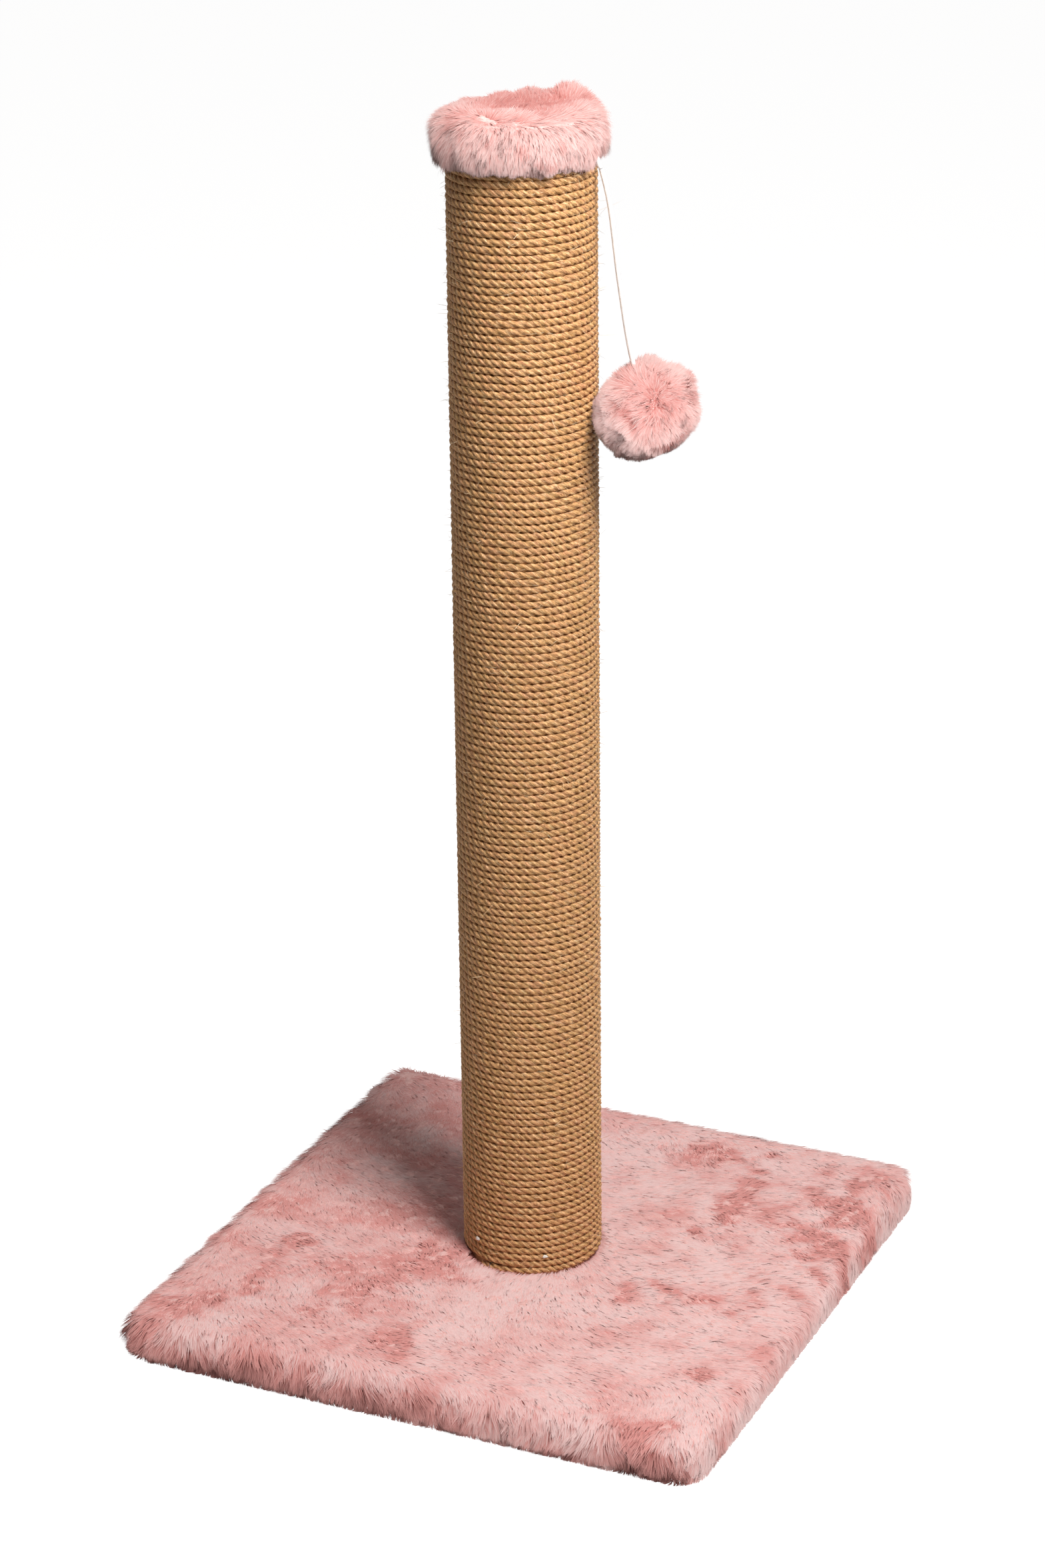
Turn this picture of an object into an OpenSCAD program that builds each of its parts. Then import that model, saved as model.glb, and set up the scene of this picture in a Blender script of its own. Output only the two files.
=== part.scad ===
// Cat scratcher: a plush covered base board, a post wound with sisal rope, a plush cap, and a plush
// ball that hangs from under the cap on a short cord.
// Millimetres, +Z up. The origin is on the floor, under the middle of the post.

/* [Base] */
// Side of the square base board
board_side = 500; // [360:10:700]
// Thickness of the base board
board_t = 25; // [16:1:40]
// Corner radius of the base board in plan
board_corner_r = 12; // [6:1:30]
// Depth of the pile on the base's sides
side_pile = 8.5; // [5:0.5:14]
// Depth of the pile on top of the base
top_pile = 11; // [6:0.5:18]
// Backing of the plush where the post's foot presses the pile flat
backing_t = 1.5; // [1:0.1:3]
// Thickness of the hem that folds under the base board
hem_t = 3; // [2:0.5:5]
// How far the hem reaches in under the base board
hem_w = 40; // [25:5:70]
// How far in from the board's edge the underside cloth ends
cloth_inset = 15; // [8:1:24]
// Thickness of the underside cloth
cloth_t = 1; // [0.8:0.1:2]

/* [Post] */
// Length of the cardboard tube
tube_len = 990; // [500:10:1500]
// Outside diameter of the cardboard tube
tube_od = 108; // [80:1:140]
// Wall of the cardboard tube
tube_wall = 5; // [3:0.5:8]
// Thickness of the plug in each end of the tube
plug_t = 22; // [15:1:30]
// Clearance of a plug in the tube
plug_clear = 0.1; // [0.05:0.05:0.5]
// Nails round each plug
plug_nail_count = 4; // [3:1:8]
// Length of a plug nail
plug_nail_len = 20; // [12:1:30]

/* [Bolt] */
// Nominal diameter of the bolt that holds the post to the base
bolt_d = 8; // [6:1:10]
// Length of the bolt under its head
bolt_len = 45; // [40:1:60]
// Width of the bolt's hexagon head across its flats
bolt_head_af = 13; // [10:0.5:16]
// Height of the bolt's head
bolt_head_h = 5.3; // [3:0.1:7]
// Outside diameter of the washer
washer_od = 28; // [20:1:34]
// Thickness of the washer
washer_t = 1.6; // [1:0.1:3]
// Depth of the counterbore for the head and the washer
counterbore_h = 9; // [8:0.5:12]
// Clearance round the bolt and round the washer
bolt_clear = 0.25; // [0.1:0.05:0.6]
// Diameter of the tee nut's flange
tee_flange_d = 22; // [18:1:28]
// Thickness of the tee nut's flange
tee_flange_t = 1.5; // [1:0.1:2.5]
// Outside diameter of the tee nut's barrel
tee_barrel_d = 10; // [9:0.5:13]
// Length of the tee nut's barrel
tee_barrel_len = 11; // [7:0.5:15]

/* [Rope] */
// Diameter of the sisal rope
rope_d = 5.9; // [5.5:0.1:6]
// Height that each turn of rope takes up
rope_pitch = 6.4; // [6.4:0.1:7.5]
// Turns modelled at each end of the winding
rope_loops = 12; // [4:1:12]
// Gap between the rope and the tube
rope_seat = 0.1; // [0.05:0.05:0.3]
// How far the rope's ends bend away from the winding
rope_tail_dip = 3; // [2.6:0.1:4]
// Direction in which the rope's lower end lies, turned from +X
rope_start_angle = -114; // [-180:1:180]
// Height above the cap's hem at which the winding ends
rope_above_hem = 15; // [8:1:20]

/* [Cap] */
// How far the cap's hem hangs below the top of the tube
cap_drop = 31.5; // [28:0.5:60]
// Depth of the cap's pile round the winding
cap_pile = 10; // [7:0.5:16]
// Height of the cap's rim above the pad
cap_rim_h = 8.5; // [8:0.5:16]
// How far the cap's middle lies below its rim
cap_dish = 6; // [3:0.5:6.5]
// Thickness of the wadding pad under the cap
pad_t = 5; // [4.8:0.1:8]
// Clearance between soft pieces and what they wrap
soft_clear = 0.3; // [0.2:0.05:0.6]
// Staples through the middle of the cap
cap_staple_count = 5; // [3:1:8]
// Radius of the ring of staples in the cap
cap_staple_ring_r = 26; // [18:1:30]

/* [Ball and cord] */
// Diameter of the cord
cord_d = 3.8; // [2:0.1:3.8]
// Direction in which the ball hangs, turned from +X
hang_angle = 4.5; // [-90:0.5:90]
// Radius of the plush ball round its middle
ball_r = 41.5; // [30:0.5:41.5]
// Radius of the plush ball along the cord
ball_polar_r = 38.5; // [28:0.5:41]
// Depth of the ball's pile and backing
ball_pile = 13; // [8:0.5:16]
// Angle of the cord from upright where it enters the ball
ball_lean = 14; // [10:0.5:18]
// Radius of the knot in the ball
knot_r = 5; // [3.5:0.5:6]
// Running clearance of the cord and its knot in the ball
cord_clear = 0.4; // [0.3:0.05:0.8]

/* [Staples] */
// Thickness of the staple wire
wire = 0.7; // [0.5:0.1:0.9]
// Width of a staple's crown
crown_w = 10; // [8:0.5:14]
// How far a staple's legs bite into board or plug
staple_bite = 6; // [4:0.5:10]
// Staples along each side of the base
staples_per_side = 5; // [3:1:9]

/* [Hidden] */

// Curves are drawn with this many sides
$fn = 96;
// Overshoot of a cut past the face that it opens
cut = 1;

// Heights, from the floor up
hem_z = cloth_t;
board_z = hem_z + hem_t;
board_top = board_z + board_t;
plush_top = board_top + top_pile;
post_z = board_top + backing_t;
tube_top = post_z + tube_len;
cap_hem_z = tube_top - cap_drop;
pad_top = tube_top + pad_t;

// Radii of the post
tube_r = tube_od / 2;
tube_ir = tube_r - tube_wall;
plug_r = tube_ir - plug_clear;
rope_outer_r = tube_r + rope_seat + rope_d;

// Colours
plush_colour = "#E9B8B2";
board_colour = "#C9A77A";
card_colour = "#B89468";
rope_colour = "#C99A5C";
steel_colour = "#B9BCC0";
cloth_colour = "#3A3838";
wadding_colour = "#F1EEE8";
cord_colour = "#F6F6F4";

// A square plate with round corners, standing on z
module rounded_plate(side, corner_r, z, h) {
    flat = side / 2 - corner_r;
    translate([0, 0, z]) linear_extrude(height = h) union() {
        square([side, 2 * flat], center = true);
        square([2 * flat, side], center = true);
        for (x = [-flat, flat], y = [-flat, flat]) translate([x, y]) circle(r = corner_r);
    }
}

// A wire staple with its crown on z and its legs up (bite > 0) or down (bite < 0), in the plane y = 0
module staple(width, legs, up = true) {
    for (x = [-width / 2, width / 2 - wire])
        translate([x, -wire / 2, up ? 0 : wire - legs]) cube([wire, wire, legs]);
    translate([-width / 2, -wire / 2, 0]) cube([width, wire, wire]);
}

// Underside cloth, with the opening through which the bolt is reached
cloth_side = board_side - 2 * cloth_inset;
cloth_hole_margin = 8;
cloth_hole_r = washer_od / 2 + cloth_hole_margin;
module underside_cloth() {
    color(cloth_colour) difference() {
        rounded_plate(cloth_side, board_corner_r, 0, cloth_t);
        translate([0, 0, -cut]) cylinder(r = cloth_hole_r, h = cloth_t + 2 * cut);
    }
}

// Staples through the cloth and the hem into the board, their crowns sunk in the cloth
underside_crown_z = 0.2;
staple_inset = 12;
staple_line = cloth_side / 2 - staple_inset;
module underside_staples() {
    spacing = 2 * staple_line / staples_per_side;
    legs = board_z + staple_bite - underside_crown_z;
    color(steel_colour) for (side = [0:3], i = [0:staples_per_side - 1])
        rotate([0, 0, 90 * side])
            translate([(i - (staples_per_side - 1) / 2) * spacing, -staple_line, underside_crown_z])
                staple(crown_w, legs);
}

// Base board, with the bolt's hole and its counterbore
module base_board() {
    color(board_colour) difference() {
        rounded_plate(board_side, board_corner_r, board_z, board_t);
        translate([0, 0, board_z - cut]) cylinder(r = bolt_d / 2 + bolt_clear, h = board_t + 2 * cut);
        translate([0, 0, board_z - cut]) cylinder(r = washer_od / 2 + bolt_clear, h = counterbore_h + cut);
    }
}

// Edge of the base's plush, as a profile that turns round each corner: out from the corner's centre, up
plush_corner_r = board_corner_r + side_pile;
edge_round = 0.72 * plush_corner_r;
edge_draw_in = 7;
function plush_edge() = concat(
    [[0, hem_z], [plush_corner_r - edge_draw_in, hem_z],
     for (a = [30:30:90])
         [plush_corner_r - edge_draw_in * (1 - sin(a)), hem_z + edge_draw_in * (1 - cos(a))]],
    [for (a = [0:15:90])
         [plush_corner_r - edge_round * (1 - cos(a)), plush_top - edge_round * (1 - sin(a))]],
    [[0, plush_top]]);

// Plush that wraps the board: top, sides and the hem folded under it
module base_plush() {
    flat = board_side / 2 - board_corner_r;
    opening = board_side - 2 * hem_w;
    color(plush_colour) difference() {
        hull() for (x = [-flat, flat], y = [-flat, flat])
            translate([x, y, 0]) rotate_extrude($fn = 32) polygon(plush_edge());
        rounded_plate(board_side, board_corner_r, board_z, board_t);
        rounded_plate(opening, board_corner_r, hem_z - cut, hem_t + 2 * cut);
        translate([0, 0, post_z]) cylinder(r = rope_outer_r + soft_clear, h = top_pile + cut);
        translate([0, 0, board_top - cut]) cylinder(r = bolt_d / 2 + bolt_clear, h = backing_t + 2 * cut);
    }
}

// Bolt, with a hexagon head up in the counterbore
washer_z = board_z + counterbore_h - washer_t;
module base_bolt() {
    color(steel_colour) union() {
        translate([0, 0, washer_z - bolt_head_h])
            cylinder(r = bolt_head_af / 2 / cos(30), h = bolt_head_h, $fn = 6);
        translate([0, 0, washer_z - cut / 2]) cylinder(r = bolt_d / 2, h = bolt_len + cut / 2);
    }
}

module base_washer() {
    color(steel_colour) difference() {
        translate([0, 0, washer_z]) cylinder(r = washer_od / 2, h = washer_t);
        translate([0, 0, washer_z - cut]) cylinder(r = bolt_d / 2 + bolt_clear, h = washer_t + 2 * cut);
    }
}

// Tee nut on top of the bottom plug, its barrel down in the plug
thread_clear = 0.05;
module tee_nut() {
    plug_top = post_z + plug_t;
    color(steel_colour) difference() {
        union() {
            translate([0, 0, plug_top]) cylinder(r = tee_flange_d / 2, h = tee_flange_t);
            translate([0, 0, plug_top - tee_barrel_len])
                cylinder(r = tee_barrel_d / 2, h = tee_barrel_len + tee_flange_t / 2);
        }
        translate([0, 0, plug_top - tee_barrel_len - cut])
            cylinder(r = bolt_d / 2 + thread_clear, h = tee_barrel_len + tee_flange_t + 2 * cut);
    }
}

// Disc plug of the tube, standing on z
module plug(z) {
    translate([0, 0, z]) cylinder(r = plug_r, h = plug_t);
}

module bottom_plug() {
    color(board_colour) difference() {
        plug(post_z);
        translate([0, 0, post_z - cut]) cylinder(r = bolt_d / 2 + bolt_clear, h = plug_t + 2 * cut);
        translate([0, 0, post_z + plug_t - tee_barrel_len])
            cylinder(r = tee_barrel_d / 2 + thread_clear, h = tee_barrel_len + cut);
    }
}

module top_plug() {
    color(board_colour) plug(tube_top - plug_t);
}

// Nails through the tube's wall into a plug, heads sunk flush with the tube
nail_r = 1;
nail_head_r = 2.4;
nail_head_t = 1;
module plug_nails(z) {
    color(steel_colour) for (i = [0:plug_nail_count - 1])
        rotate([0, 0, 45 + i * 360 / plug_nail_count]) translate([tube_r, 0, z]) rotate([0, -90, 0])
            union() {
                cylinder(r = nail_head_r, h = nail_head_t);
                cylinder(r = nail_r, h = plug_nail_len);
            }
}

module bottom_plug_nails() {
    plug_nails(post_z + plug_t / 2);
}

module top_plug_nails() {
    plug_nails(tube_top - plug_t / 2);
}

module post_tube() {
    color(card_colour) difference() {
        translate([0, 0, post_z]) cylinder(r = tube_r, h = tube_len);
        translate([0, 0, post_z - cut]) cylinder(r = tube_ir, h = tube_len + 2 * cut);
    }
}

// Rope: a helix of rope_rings rings a turn, each ring a hexagon with a corner up and a corner down
rope_rings = 24;
rope_sides = 6;
rope_helix_r = (tube_r + rope_seat) / cos(180 / rope_rings) + rope_d / 2 * cos(180 / rope_sides);
end_gap = 0.2;
rope_lower_z = post_z + rope_d / 2 + rope_tail_dip + end_gap;
rope_upper_z = cap_hem_z + rope_above_hem - rope_tail_dip;
tail_turn = 0.12;

// Bend of a rope end away from the winding, at a share t of a turn from that end
function tail(t) = rope_tail_dip * pow(max(0, 1 - t / tail_turn), 2);

// Centre height of the lower turns above their start, and of the upper turns below their end
function turn_height(i) = rope_pitch * i / rope_rings - tail(i / rope_rings);

// One corner of ring i of a winding that climbs from z (dir = 1), or goes down from it (dir = -1)
function rope_point(i, k, z, dir) =
    let (turn = dir * i * 360 / rope_rings, round = k * 360 / rope_sides + 90,
         r = rope_helix_r + rope_d / 2 * cos(round),
         up = z + dir * turn_height(i) + rope_d / 2 * sin(round))
    [r * cos(turn), r * sin(turn), up];

function rope_points(z, dir) = [for (i = [0:rope_loops * rope_rings], k = [0:rope_sides - 1])
    rope_point(i, k, z, dir)];

// Triangles of a tube with n rings of s corners, ends closed; flip is for rings that go round the other way
function tube_faces(n, s, flip = false) = let (faces = concat(
    [for (i = [0:n - 2], k = [0:s - 1]) [i * s + k, i * s + (k + 1) % s, (i + 1) * s + k]],
    [for (i = [0:n - 2], k = [0:s - 1]) [i * s + (k + 1) % s, (i + 1) * s + (k + 1) % s, (i + 1) * s + k]],
    [for (k = [1:s - 2]) [0, k + 1, k]],
    [for (k = [1:s - 2]) [(n - 1) * s, (n - 1) * s + k, (n - 1) * s + k + 1]]))
    flip ? [for (f = faces) [f[0], f[2], f[1]]] : faces;

module rope_turns(z, dir) {
    color(rope_colour) polyhedron(points = rope_points(z, dir),
        faces = tube_faces(rope_loops * rope_rings + 1, rope_sides, dir < 0), convexity = 10);
}

module rope_lower_turns() {
    rotate([0, 0, rope_start_angle]) rope_turns(rope_lower_z, 1);
}

module rope_upper_turns() {
    rope_turns(rope_upper_z, -1);
}

// Least gap between the corners of each turn and of the next one
function rope_gap(z, dir) = min([for (i = [0:(rope_loops - 1) * rope_rings], j = [-1:1],
    k = [0:rope_sides - 1], m = [0:rope_sides - 1])
        if (i + rope_rings + j <= rope_loops * rope_rings)
            norm(rope_point(i, k, z, dir) - rope_point(i + rope_rings + j, m, z, dir))]);
echo(str("least gap of the lower turns to themselves, mm: ", rope_gap(rope_lower_z, 1)));
echo(str("least gap of the upper turns to themselves, mm: ", rope_gap(rope_upper_z, -1)));

// The turns between the two modelled stretches, as one plain sleeve
winding_h = rope_pitch * rope_loops + rope_d / 2 + end_gap;
module rope_middle() {
    low = rope_lower_z + winding_h;
    high = rope_upper_z - winding_h;
    color(rope_colour) difference() {
        translate([0, 0, low]) cylinder(r = rope_outer_r, h = high - low);
        translate([0, 0, low - cut]) cylinder(r = tube_r, h = high - low + 2 * cut);
    }
}

// A staple across each end of the rope, with its legs in the tube's wall
rope_staple_turn = 10;
module rope_staple(turn, z) {
    reach = rope_outer_r - tube_r + 0.7 * tube_wall;
    rotate([0, 0, turn]) translate([rope_outer_r, 0, z]) rotate([0, -90, 0])
        staple(rope_d + 2 * wire + end_gap, reach);
}

module rope_staples() {
    dip = tail(rope_staple_turn / 360);
    color(steel_colour) union() {
        rope_staple(rope_start_angle + rope_staple_turn, rope_lower_z - dip);
        rope_staple(-rope_staple_turn, rope_upper_z + dip);
    }
}

// Cord's route in the plane in which it hangs: out from the rope's surface, up from the cap's hem.
// From the staple on the top plug, over the tube's edge and down to the bend under the hem
cord_hidden = [[-24, 33.6], [-16, 33.6], [-9, 33.8], [-4.5, 33.6], [-0.5, 30.5], [2, 23], [2.4, 15],
               [2.4, 7], [3.4, 1], [5.8, -4]];
// From the bend down to the ball's middle
cord_free = [[5.8, -4], [8, -12], [10.3, -21], [12.2, -30], [13.8, -40], [15.1, -50], [16.3, -60],
             [17.5, -70], [18.7, -80], [20, -90], [21.5, -100], [23, -110], [24.5, -120], [26.1, -130],
             [27.9, -140], [30, -150], [32.5, -160], [35, -170], [37.5, -180], [41.7, -197]];
cord_sides = 8;
cord_r = cord_d / 2;
bend_gap = cord_r + 0.3;
bend = cord_free[0];
ball_centre = cord_free[len(cord_free) - 1];
knot_half_h = 4;

// A route with its first or last point drawn in by a distance
function unit(v) = v / norm(v);
function cut_start(p, d) = [for (i = [0:len(p) - 1]) i == 0 ? p[0] + d * unit(p[1] - p[0]) : p[i]];
function cut_end(p, d) = let (n = len(p) - 1)
    [for (i = [0:n]) i == n ? p[n] + d * unit(p[n - 1] - p[n]) : p[i]];

// Direction square to a route at point i, in its plane
function square_to(p, i) = let (n = len(p) - 1, d = unit(p[min(i + 1, n)] - p[max(i - 1, 0)])) [-d[1], d[0]];

// Moves a thing drawn at the middle of the rope's surface in the hanging plane to its place on the post
module hang() {
    rotate([0, 0, hang_angle]) translate([rope_outer_r, 0, cap_hem_z]) children();
}

// Tube of the cord along a route
module cord_tube(p) {
    points = [for (i = [0:len(p) - 1], k = [0:cord_sides - 1])
        let (n = square_to(p, i), a = k * 360 / cord_sides)
        [p[i][0] + cord_r * cos(a) * n[0], cord_r * sin(a), p[i][1] + cord_r * cos(a) * n[1]]];
    hang() polyhedron(points = points, faces = tube_faces(len(p), cord_sides), convexity = 4);
}

// Space that soft pieces leave round the hidden stretch of the cord, open past the bend
channel_run = 4;
module cord_channel() {
    half = cord_r + soft_clear;
    p = cut_end(cord_hidden, -channel_run);
    n = len(p) - 1;
    hang() rotate([90, 0, 0]) translate([0, 0, -half]) linear_extrude(height = 2 * half)
        polygon(concat([for (i = [0:n]) p[i] + half * square_to(p, i)],
                       [for (i = [n:-1:0]) p[i] - half * square_to(p, i)]));
}

module cord_fixed_end() {
    color(cord_colour) cord_tube(cut_end(cord_hidden, bend_gap));
}

// Where the cord bends when the ball swings: a round stretch of the cord's own diameter
module cord_bend() {
    color(cord_colour) hang() translate([bend[0], 0, bend[1]]) sphere(r = cord_r);
}

module cord() {
    color(cord_colour) cord_tube(cut_end(cut_start(cord_free, bend_gap), knot_half_h));
}

// Moves a thing drawn on the z axis to the ball, with z along the cord
module at_ball() {
    hang() translate([ball_centre[0], 0, ball_centre[1]]) rotate([0, -ball_lean, 0]) children();
}

// Outline of the knot, made larger all round by grow
function knot_outline(grow) = [[0, -knot_half_h - grow], [0.6 * knot_r + grow / 2, -knot_half_h - grow],
    [knot_r + grow, -0.4 * knot_half_h], [knot_r + grow, 0.4 * knot_half_h],
    [0.6 * knot_r + grow / 2, knot_half_h + grow], [0, knot_half_h + grow]];

module cord_knot() {
    color(cord_colour) at_ball() rotate_extrude() polygon(knot_outline(0));
}

module cord_bore() {
    cylinder(r = cord_r + cord_clear, h = 2 * ball_r);
}

filling_r = ball_r - ball_pile;
module pompom_filling() {
    color(wadding_colour) at_ball() difference() {
        sphere(r = filling_r);
        rotate_extrude() polygon(knot_outline(cord_clear));
        cord_bore();
    }
}

// Plush ball: flatter along the cord, and drawn in where the cord enters
dimple_r = 9;
dimple_h = 5;
function ball_outline() = [for (a = [-90:7.5:90])
    let (r = ball_r * cos(a), dip = a > 0 ? dimple_h * max(0, 1 - pow(r / dimple_r, 2)) : 0)
    [a == 90 ? 0 : r, ball_polar_r * sin(a) - dip]];
module pompom_plush() {
    color(plush_colour) at_ball() difference() {
        rotate_extrude() polygon(ball_outline());
        sphere(r = filling_r);
        cord_bore();
    }
}

// A staple over the cord's upper end, with its legs in the top plug
cord_staple_out = -20;
cord_staple_w = cord_d + 2 * wire + 2 * end_gap;
cord_crown_z = cord_hidden[0][1] + cord_r;
module cord_staple() {
    color(steel_colour) hang() translate([cord_staple_out, 0, cord_crown_z]) rotate([0, 0, 90])
        staple(cord_staple_w, cord_crown_z - cap_drop + wire + staple_bite, false);
}

// Room for that staple in the pad and the cap
module cord_staple_room() {
    size = [wire + 2 * soft_clear, cord_staple_w + 2 * soft_clear,
            cord_crown_z - cap_drop + wire + soft_clear + cut];
    hang() translate([cord_staple_out - size[0] / 2, -size[1] / 2, cap_drop - cut]) cube(size);
}

module cap_pad() {
    color(wadding_colour) difference() {
        translate([0, 0, tube_top]) cylinder(r = tube_r, h = pad_t);
        cord_channel();
        cord_staple_room();
    }
}

// Half outline of the cap: the hem drawn in, the side swelling, a rolled rim and a dished middle
cap_in_r = rope_outer_r + soft_clear;
cap_out_r = rope_outer_r + cap_pile;
rim_z = pad_top + cap_rim_h;
rim_round = 0.8 * cap_pile;
hem_draw_in = 4;
hem_swell_h = 11;
function cap_outline() = concat(
    [[cap_in_r, cap_hem_z]],
    [for (a = [0:30:90])
         [cap_out_r - hem_draw_in * (1 - sin(a)), cap_hem_z + hem_swell_h * (1 - cos(a))]],
    [for (a = [0:15:90])
         [cap_out_r - rim_round * (1 - cos(a)), rim_z - rim_round * (1 - sin(a))]],
    [for (s = [1:6]) let (r = (cap_out_r - rim_round) * (1 - s / 6))
        [r, rim_z - cap_dish * (1 - pow(r / (cap_out_r - rim_round), 2))]],
    [[0, pad_top], [cap_in_r, pad_top]]);

module cap_plush() {
    color(plush_colour) difference() {
        rotate_extrude() polygon(cap_outline());
        cord_channel();
        cord_staple_room();
    }
}

// Staples that hold the cap's middle down on the top plug
module cap_staples() {
    backing = backing_t / 2;
    color(steel_colour) for (i = [0:cap_staple_count - 1])
        rotate([0, 0, hang_angle + (i + 0.5) * 360 / cap_staple_count])
            translate([cap_staple_ring_r, 0, pad_top + backing]) rotate([0, 0, 90])
                staple(crown_w, backing + pad_t + wire + staple_bite, false);
}

underside_cloth();
underside_staples();
base_board();
base_plush();
base_bolt();
base_washer();
tee_nut();
bottom_plug();
bottom_plug_nails();
post_tube();
top_plug();
top_plug_nails();
rope_lower_turns();
rope_middle();
rope_upper_turns();
rope_staples();
cap_pad();
cap_plush();
cap_staples();
cord_staple();
cord_fixed_end();
cord_bend();
cord();
cord_knot();
pompom_filling();
pompom_plush();
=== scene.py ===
import math

import bpy
import numpy as np
from mathutils import Matrix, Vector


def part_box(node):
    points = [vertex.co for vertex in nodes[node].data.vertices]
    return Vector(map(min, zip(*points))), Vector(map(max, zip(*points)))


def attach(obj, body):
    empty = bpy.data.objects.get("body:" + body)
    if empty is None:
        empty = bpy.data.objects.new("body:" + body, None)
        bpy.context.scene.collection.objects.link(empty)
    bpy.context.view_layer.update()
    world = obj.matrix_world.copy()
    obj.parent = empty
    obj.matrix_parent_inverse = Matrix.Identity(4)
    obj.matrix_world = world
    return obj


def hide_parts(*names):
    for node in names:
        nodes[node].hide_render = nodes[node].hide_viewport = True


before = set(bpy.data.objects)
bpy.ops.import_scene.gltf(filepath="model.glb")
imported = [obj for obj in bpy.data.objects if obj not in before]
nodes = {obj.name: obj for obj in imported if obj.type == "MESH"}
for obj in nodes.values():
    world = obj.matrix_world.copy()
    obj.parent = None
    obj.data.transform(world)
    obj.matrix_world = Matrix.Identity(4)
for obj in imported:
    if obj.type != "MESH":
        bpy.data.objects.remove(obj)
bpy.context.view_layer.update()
scene = bpy.context.scene

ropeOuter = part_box("rope_middle")[1].x
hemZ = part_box("cap_plush")[0].z
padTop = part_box("cap_pad")[1].z
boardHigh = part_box("base_board")[1]
print("frame loaded")


# Arrays and meshes

def unit(v):
    # each row divided by its own length
    return v / np.maximum(np.linalg.norm(v, axis=-1, keepdims=True), 1e-12)


def ramp(x, low, high):
    # 0 below low, 1 above high, and an even S-curve between
    t = np.clip((x - low) / (high - low), 0, 1)
    return t * t * (3 - 2 * t)


def waves(points, size, seed, count=22):
    # smooth noise about one unit high: a sum of cosine waves with random directions and phases, whose
    # lengths lie round size
    draw = np.random.default_rng(seed)
    directions = unit(draw.normal(size=(count, 3)))
    lengths = size * draw.uniform(0.6, 1.7, (count, 1))
    phases = draw.uniform(0, 2 * np.pi, count)
    total = np.zeros(len(points))
    for direction, phase in zip(directions * (2 * np.pi / lengths), phases):
        total += np.cos(points @ direction + phase)
    return total * math.sqrt(2 / count)


def drift(points, size, seed, count=22):
    # three such noises as the parts of one vector
    return np.stack([waves(points, size, seed + k, count) for k in range(3)], 1)


def turned(x, y, degrees):
    # x and y turned round the z axis
    c, s = math.cos(math.radians(degrees)), math.sin(math.radians(degrees))
    return c * x - s * y, s * x + c * y


def polar(out, a, up):
    # points at the distance out from the z axis, the angle a round it and the height up
    return np.stack([out * np.cos(a), out * np.sin(a), up + 0 * a], -1)


def evenAngles(count):
    # count angles that share a full turn evenly
    return np.arange(count) * 2 * np.pi / count


def runAlong(line):
    # distance of each point from the first, summed along the line
    return np.concatenate([[0], np.cumsum(np.linalg.norm(np.diff(line, axis=0), axis=1))])


def smoothCurve(points, count):
    # Catmull-Rom curve through the points, worked out in 24 steps between each two of them and read at count
    # places that are evenly spaced along it
    p = np.asarray(points, float)
    p = np.vstack([2 * p[0] - p[1], p, 2 * p[-1] - p[-2]])
    t = np.linspace(0, 1, 25)[:-1, None]
    spans = [0.5 * (2 * b + (c - a) * t + (2 * a - 5 * b + 4 * c - d) * t ** 2
                    + (3 * b - a - 3 * c + d) * t ** 3)
             for a, b, c, d in zip(p[:-3], p[1:-2], p[2:-1], p[3:])]
    line = np.vstack(spans + [p[-2:-1]])
    along = runAlong(line)
    wanted = np.linspace(0, along[-1], count)
    return np.stack([np.interp(wanted, along, line[:, k]) for k in range(line.shape[1])], 1)


def gridFaces(rows, columns, wrapRows=False):
    # quads between neighbouring rows and columns, with each corner's row and column for a UV map; the last
    # column meets the first, and with wrapRows the last row does too
    i, j = np.meshgrid(np.arange(rows if wrapRows else rows - 1), np.arange(columns), indexing="ij")
    i, j = i.ravel(), j.ravel()
    rowOf = np.stack([i, i, i + 1, i + 1], 1)
    columnOf = np.stack([j, j + 1, j + 1, j], 1)
    return (rowOf % rows) * columns + columnOf % columns, rowOf, columnOf


def closedRings(rows, columns, fromTop=False):
    # quads between rings round the z axis and a fan from each end ring to the point that closes it; those
    # two points come after the rings. fromTop turns the faces, for rings that start on top
    quads = gridFaces(rows, columns)[0]
    k = np.arange(columns)
    one, two = (k, (k + 1) % columns) if fromTop else ((k + 1) % columns, k)
    last = (rows - 1) * columns
    firstFan = np.stack([one, two, np.full(columns, rows * columns)], 1)
    lastFan = np.stack([last + two, last + one, np.full(columns, rows * columns + 1)], 1)
    return [quads[:, ::-1] if fromTop else quads, firstFan, lastFan]


def ballGrid(rows, columns):
    # unit sphere: rows run from the lower pole to the upper one, columns round the z axis
    rise = np.linspace(-np.pi / 2, np.pi / 2, rows + 2)[1:-1]
    a = evenAngles(columns)
    rings = np.stack([np.outer(np.cos(rise), np.cos(a)), np.outer(np.cos(rise), np.sin(a)),
                      np.outer(np.sin(rise), np.ones(columns))], -1).reshape(-1, 3)
    return np.vstack([rings, [[0, 0, -1], [0, 0, 1]]]), closedRings(rows, columns)


def tubeFaces(run, sides):
    # quads between a tube's rings, one flat face on each end, and a UV map that gives metres along the tube
    # and the share of the way round; run is each ring's distance along it
    quads, rowOf, columnOf = gridFaces(len(run), sides)
    ends = np.stack([np.arange(sides)[::-1], (len(run) - 1) * sides + np.arange(sides)])
    uv = np.stack([run[rowOf], columnOf / sides], -1).reshape(-1, 2)
    return [quads, ends], np.vstack([uv, np.zeros((2 * sides, 2))])


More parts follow.
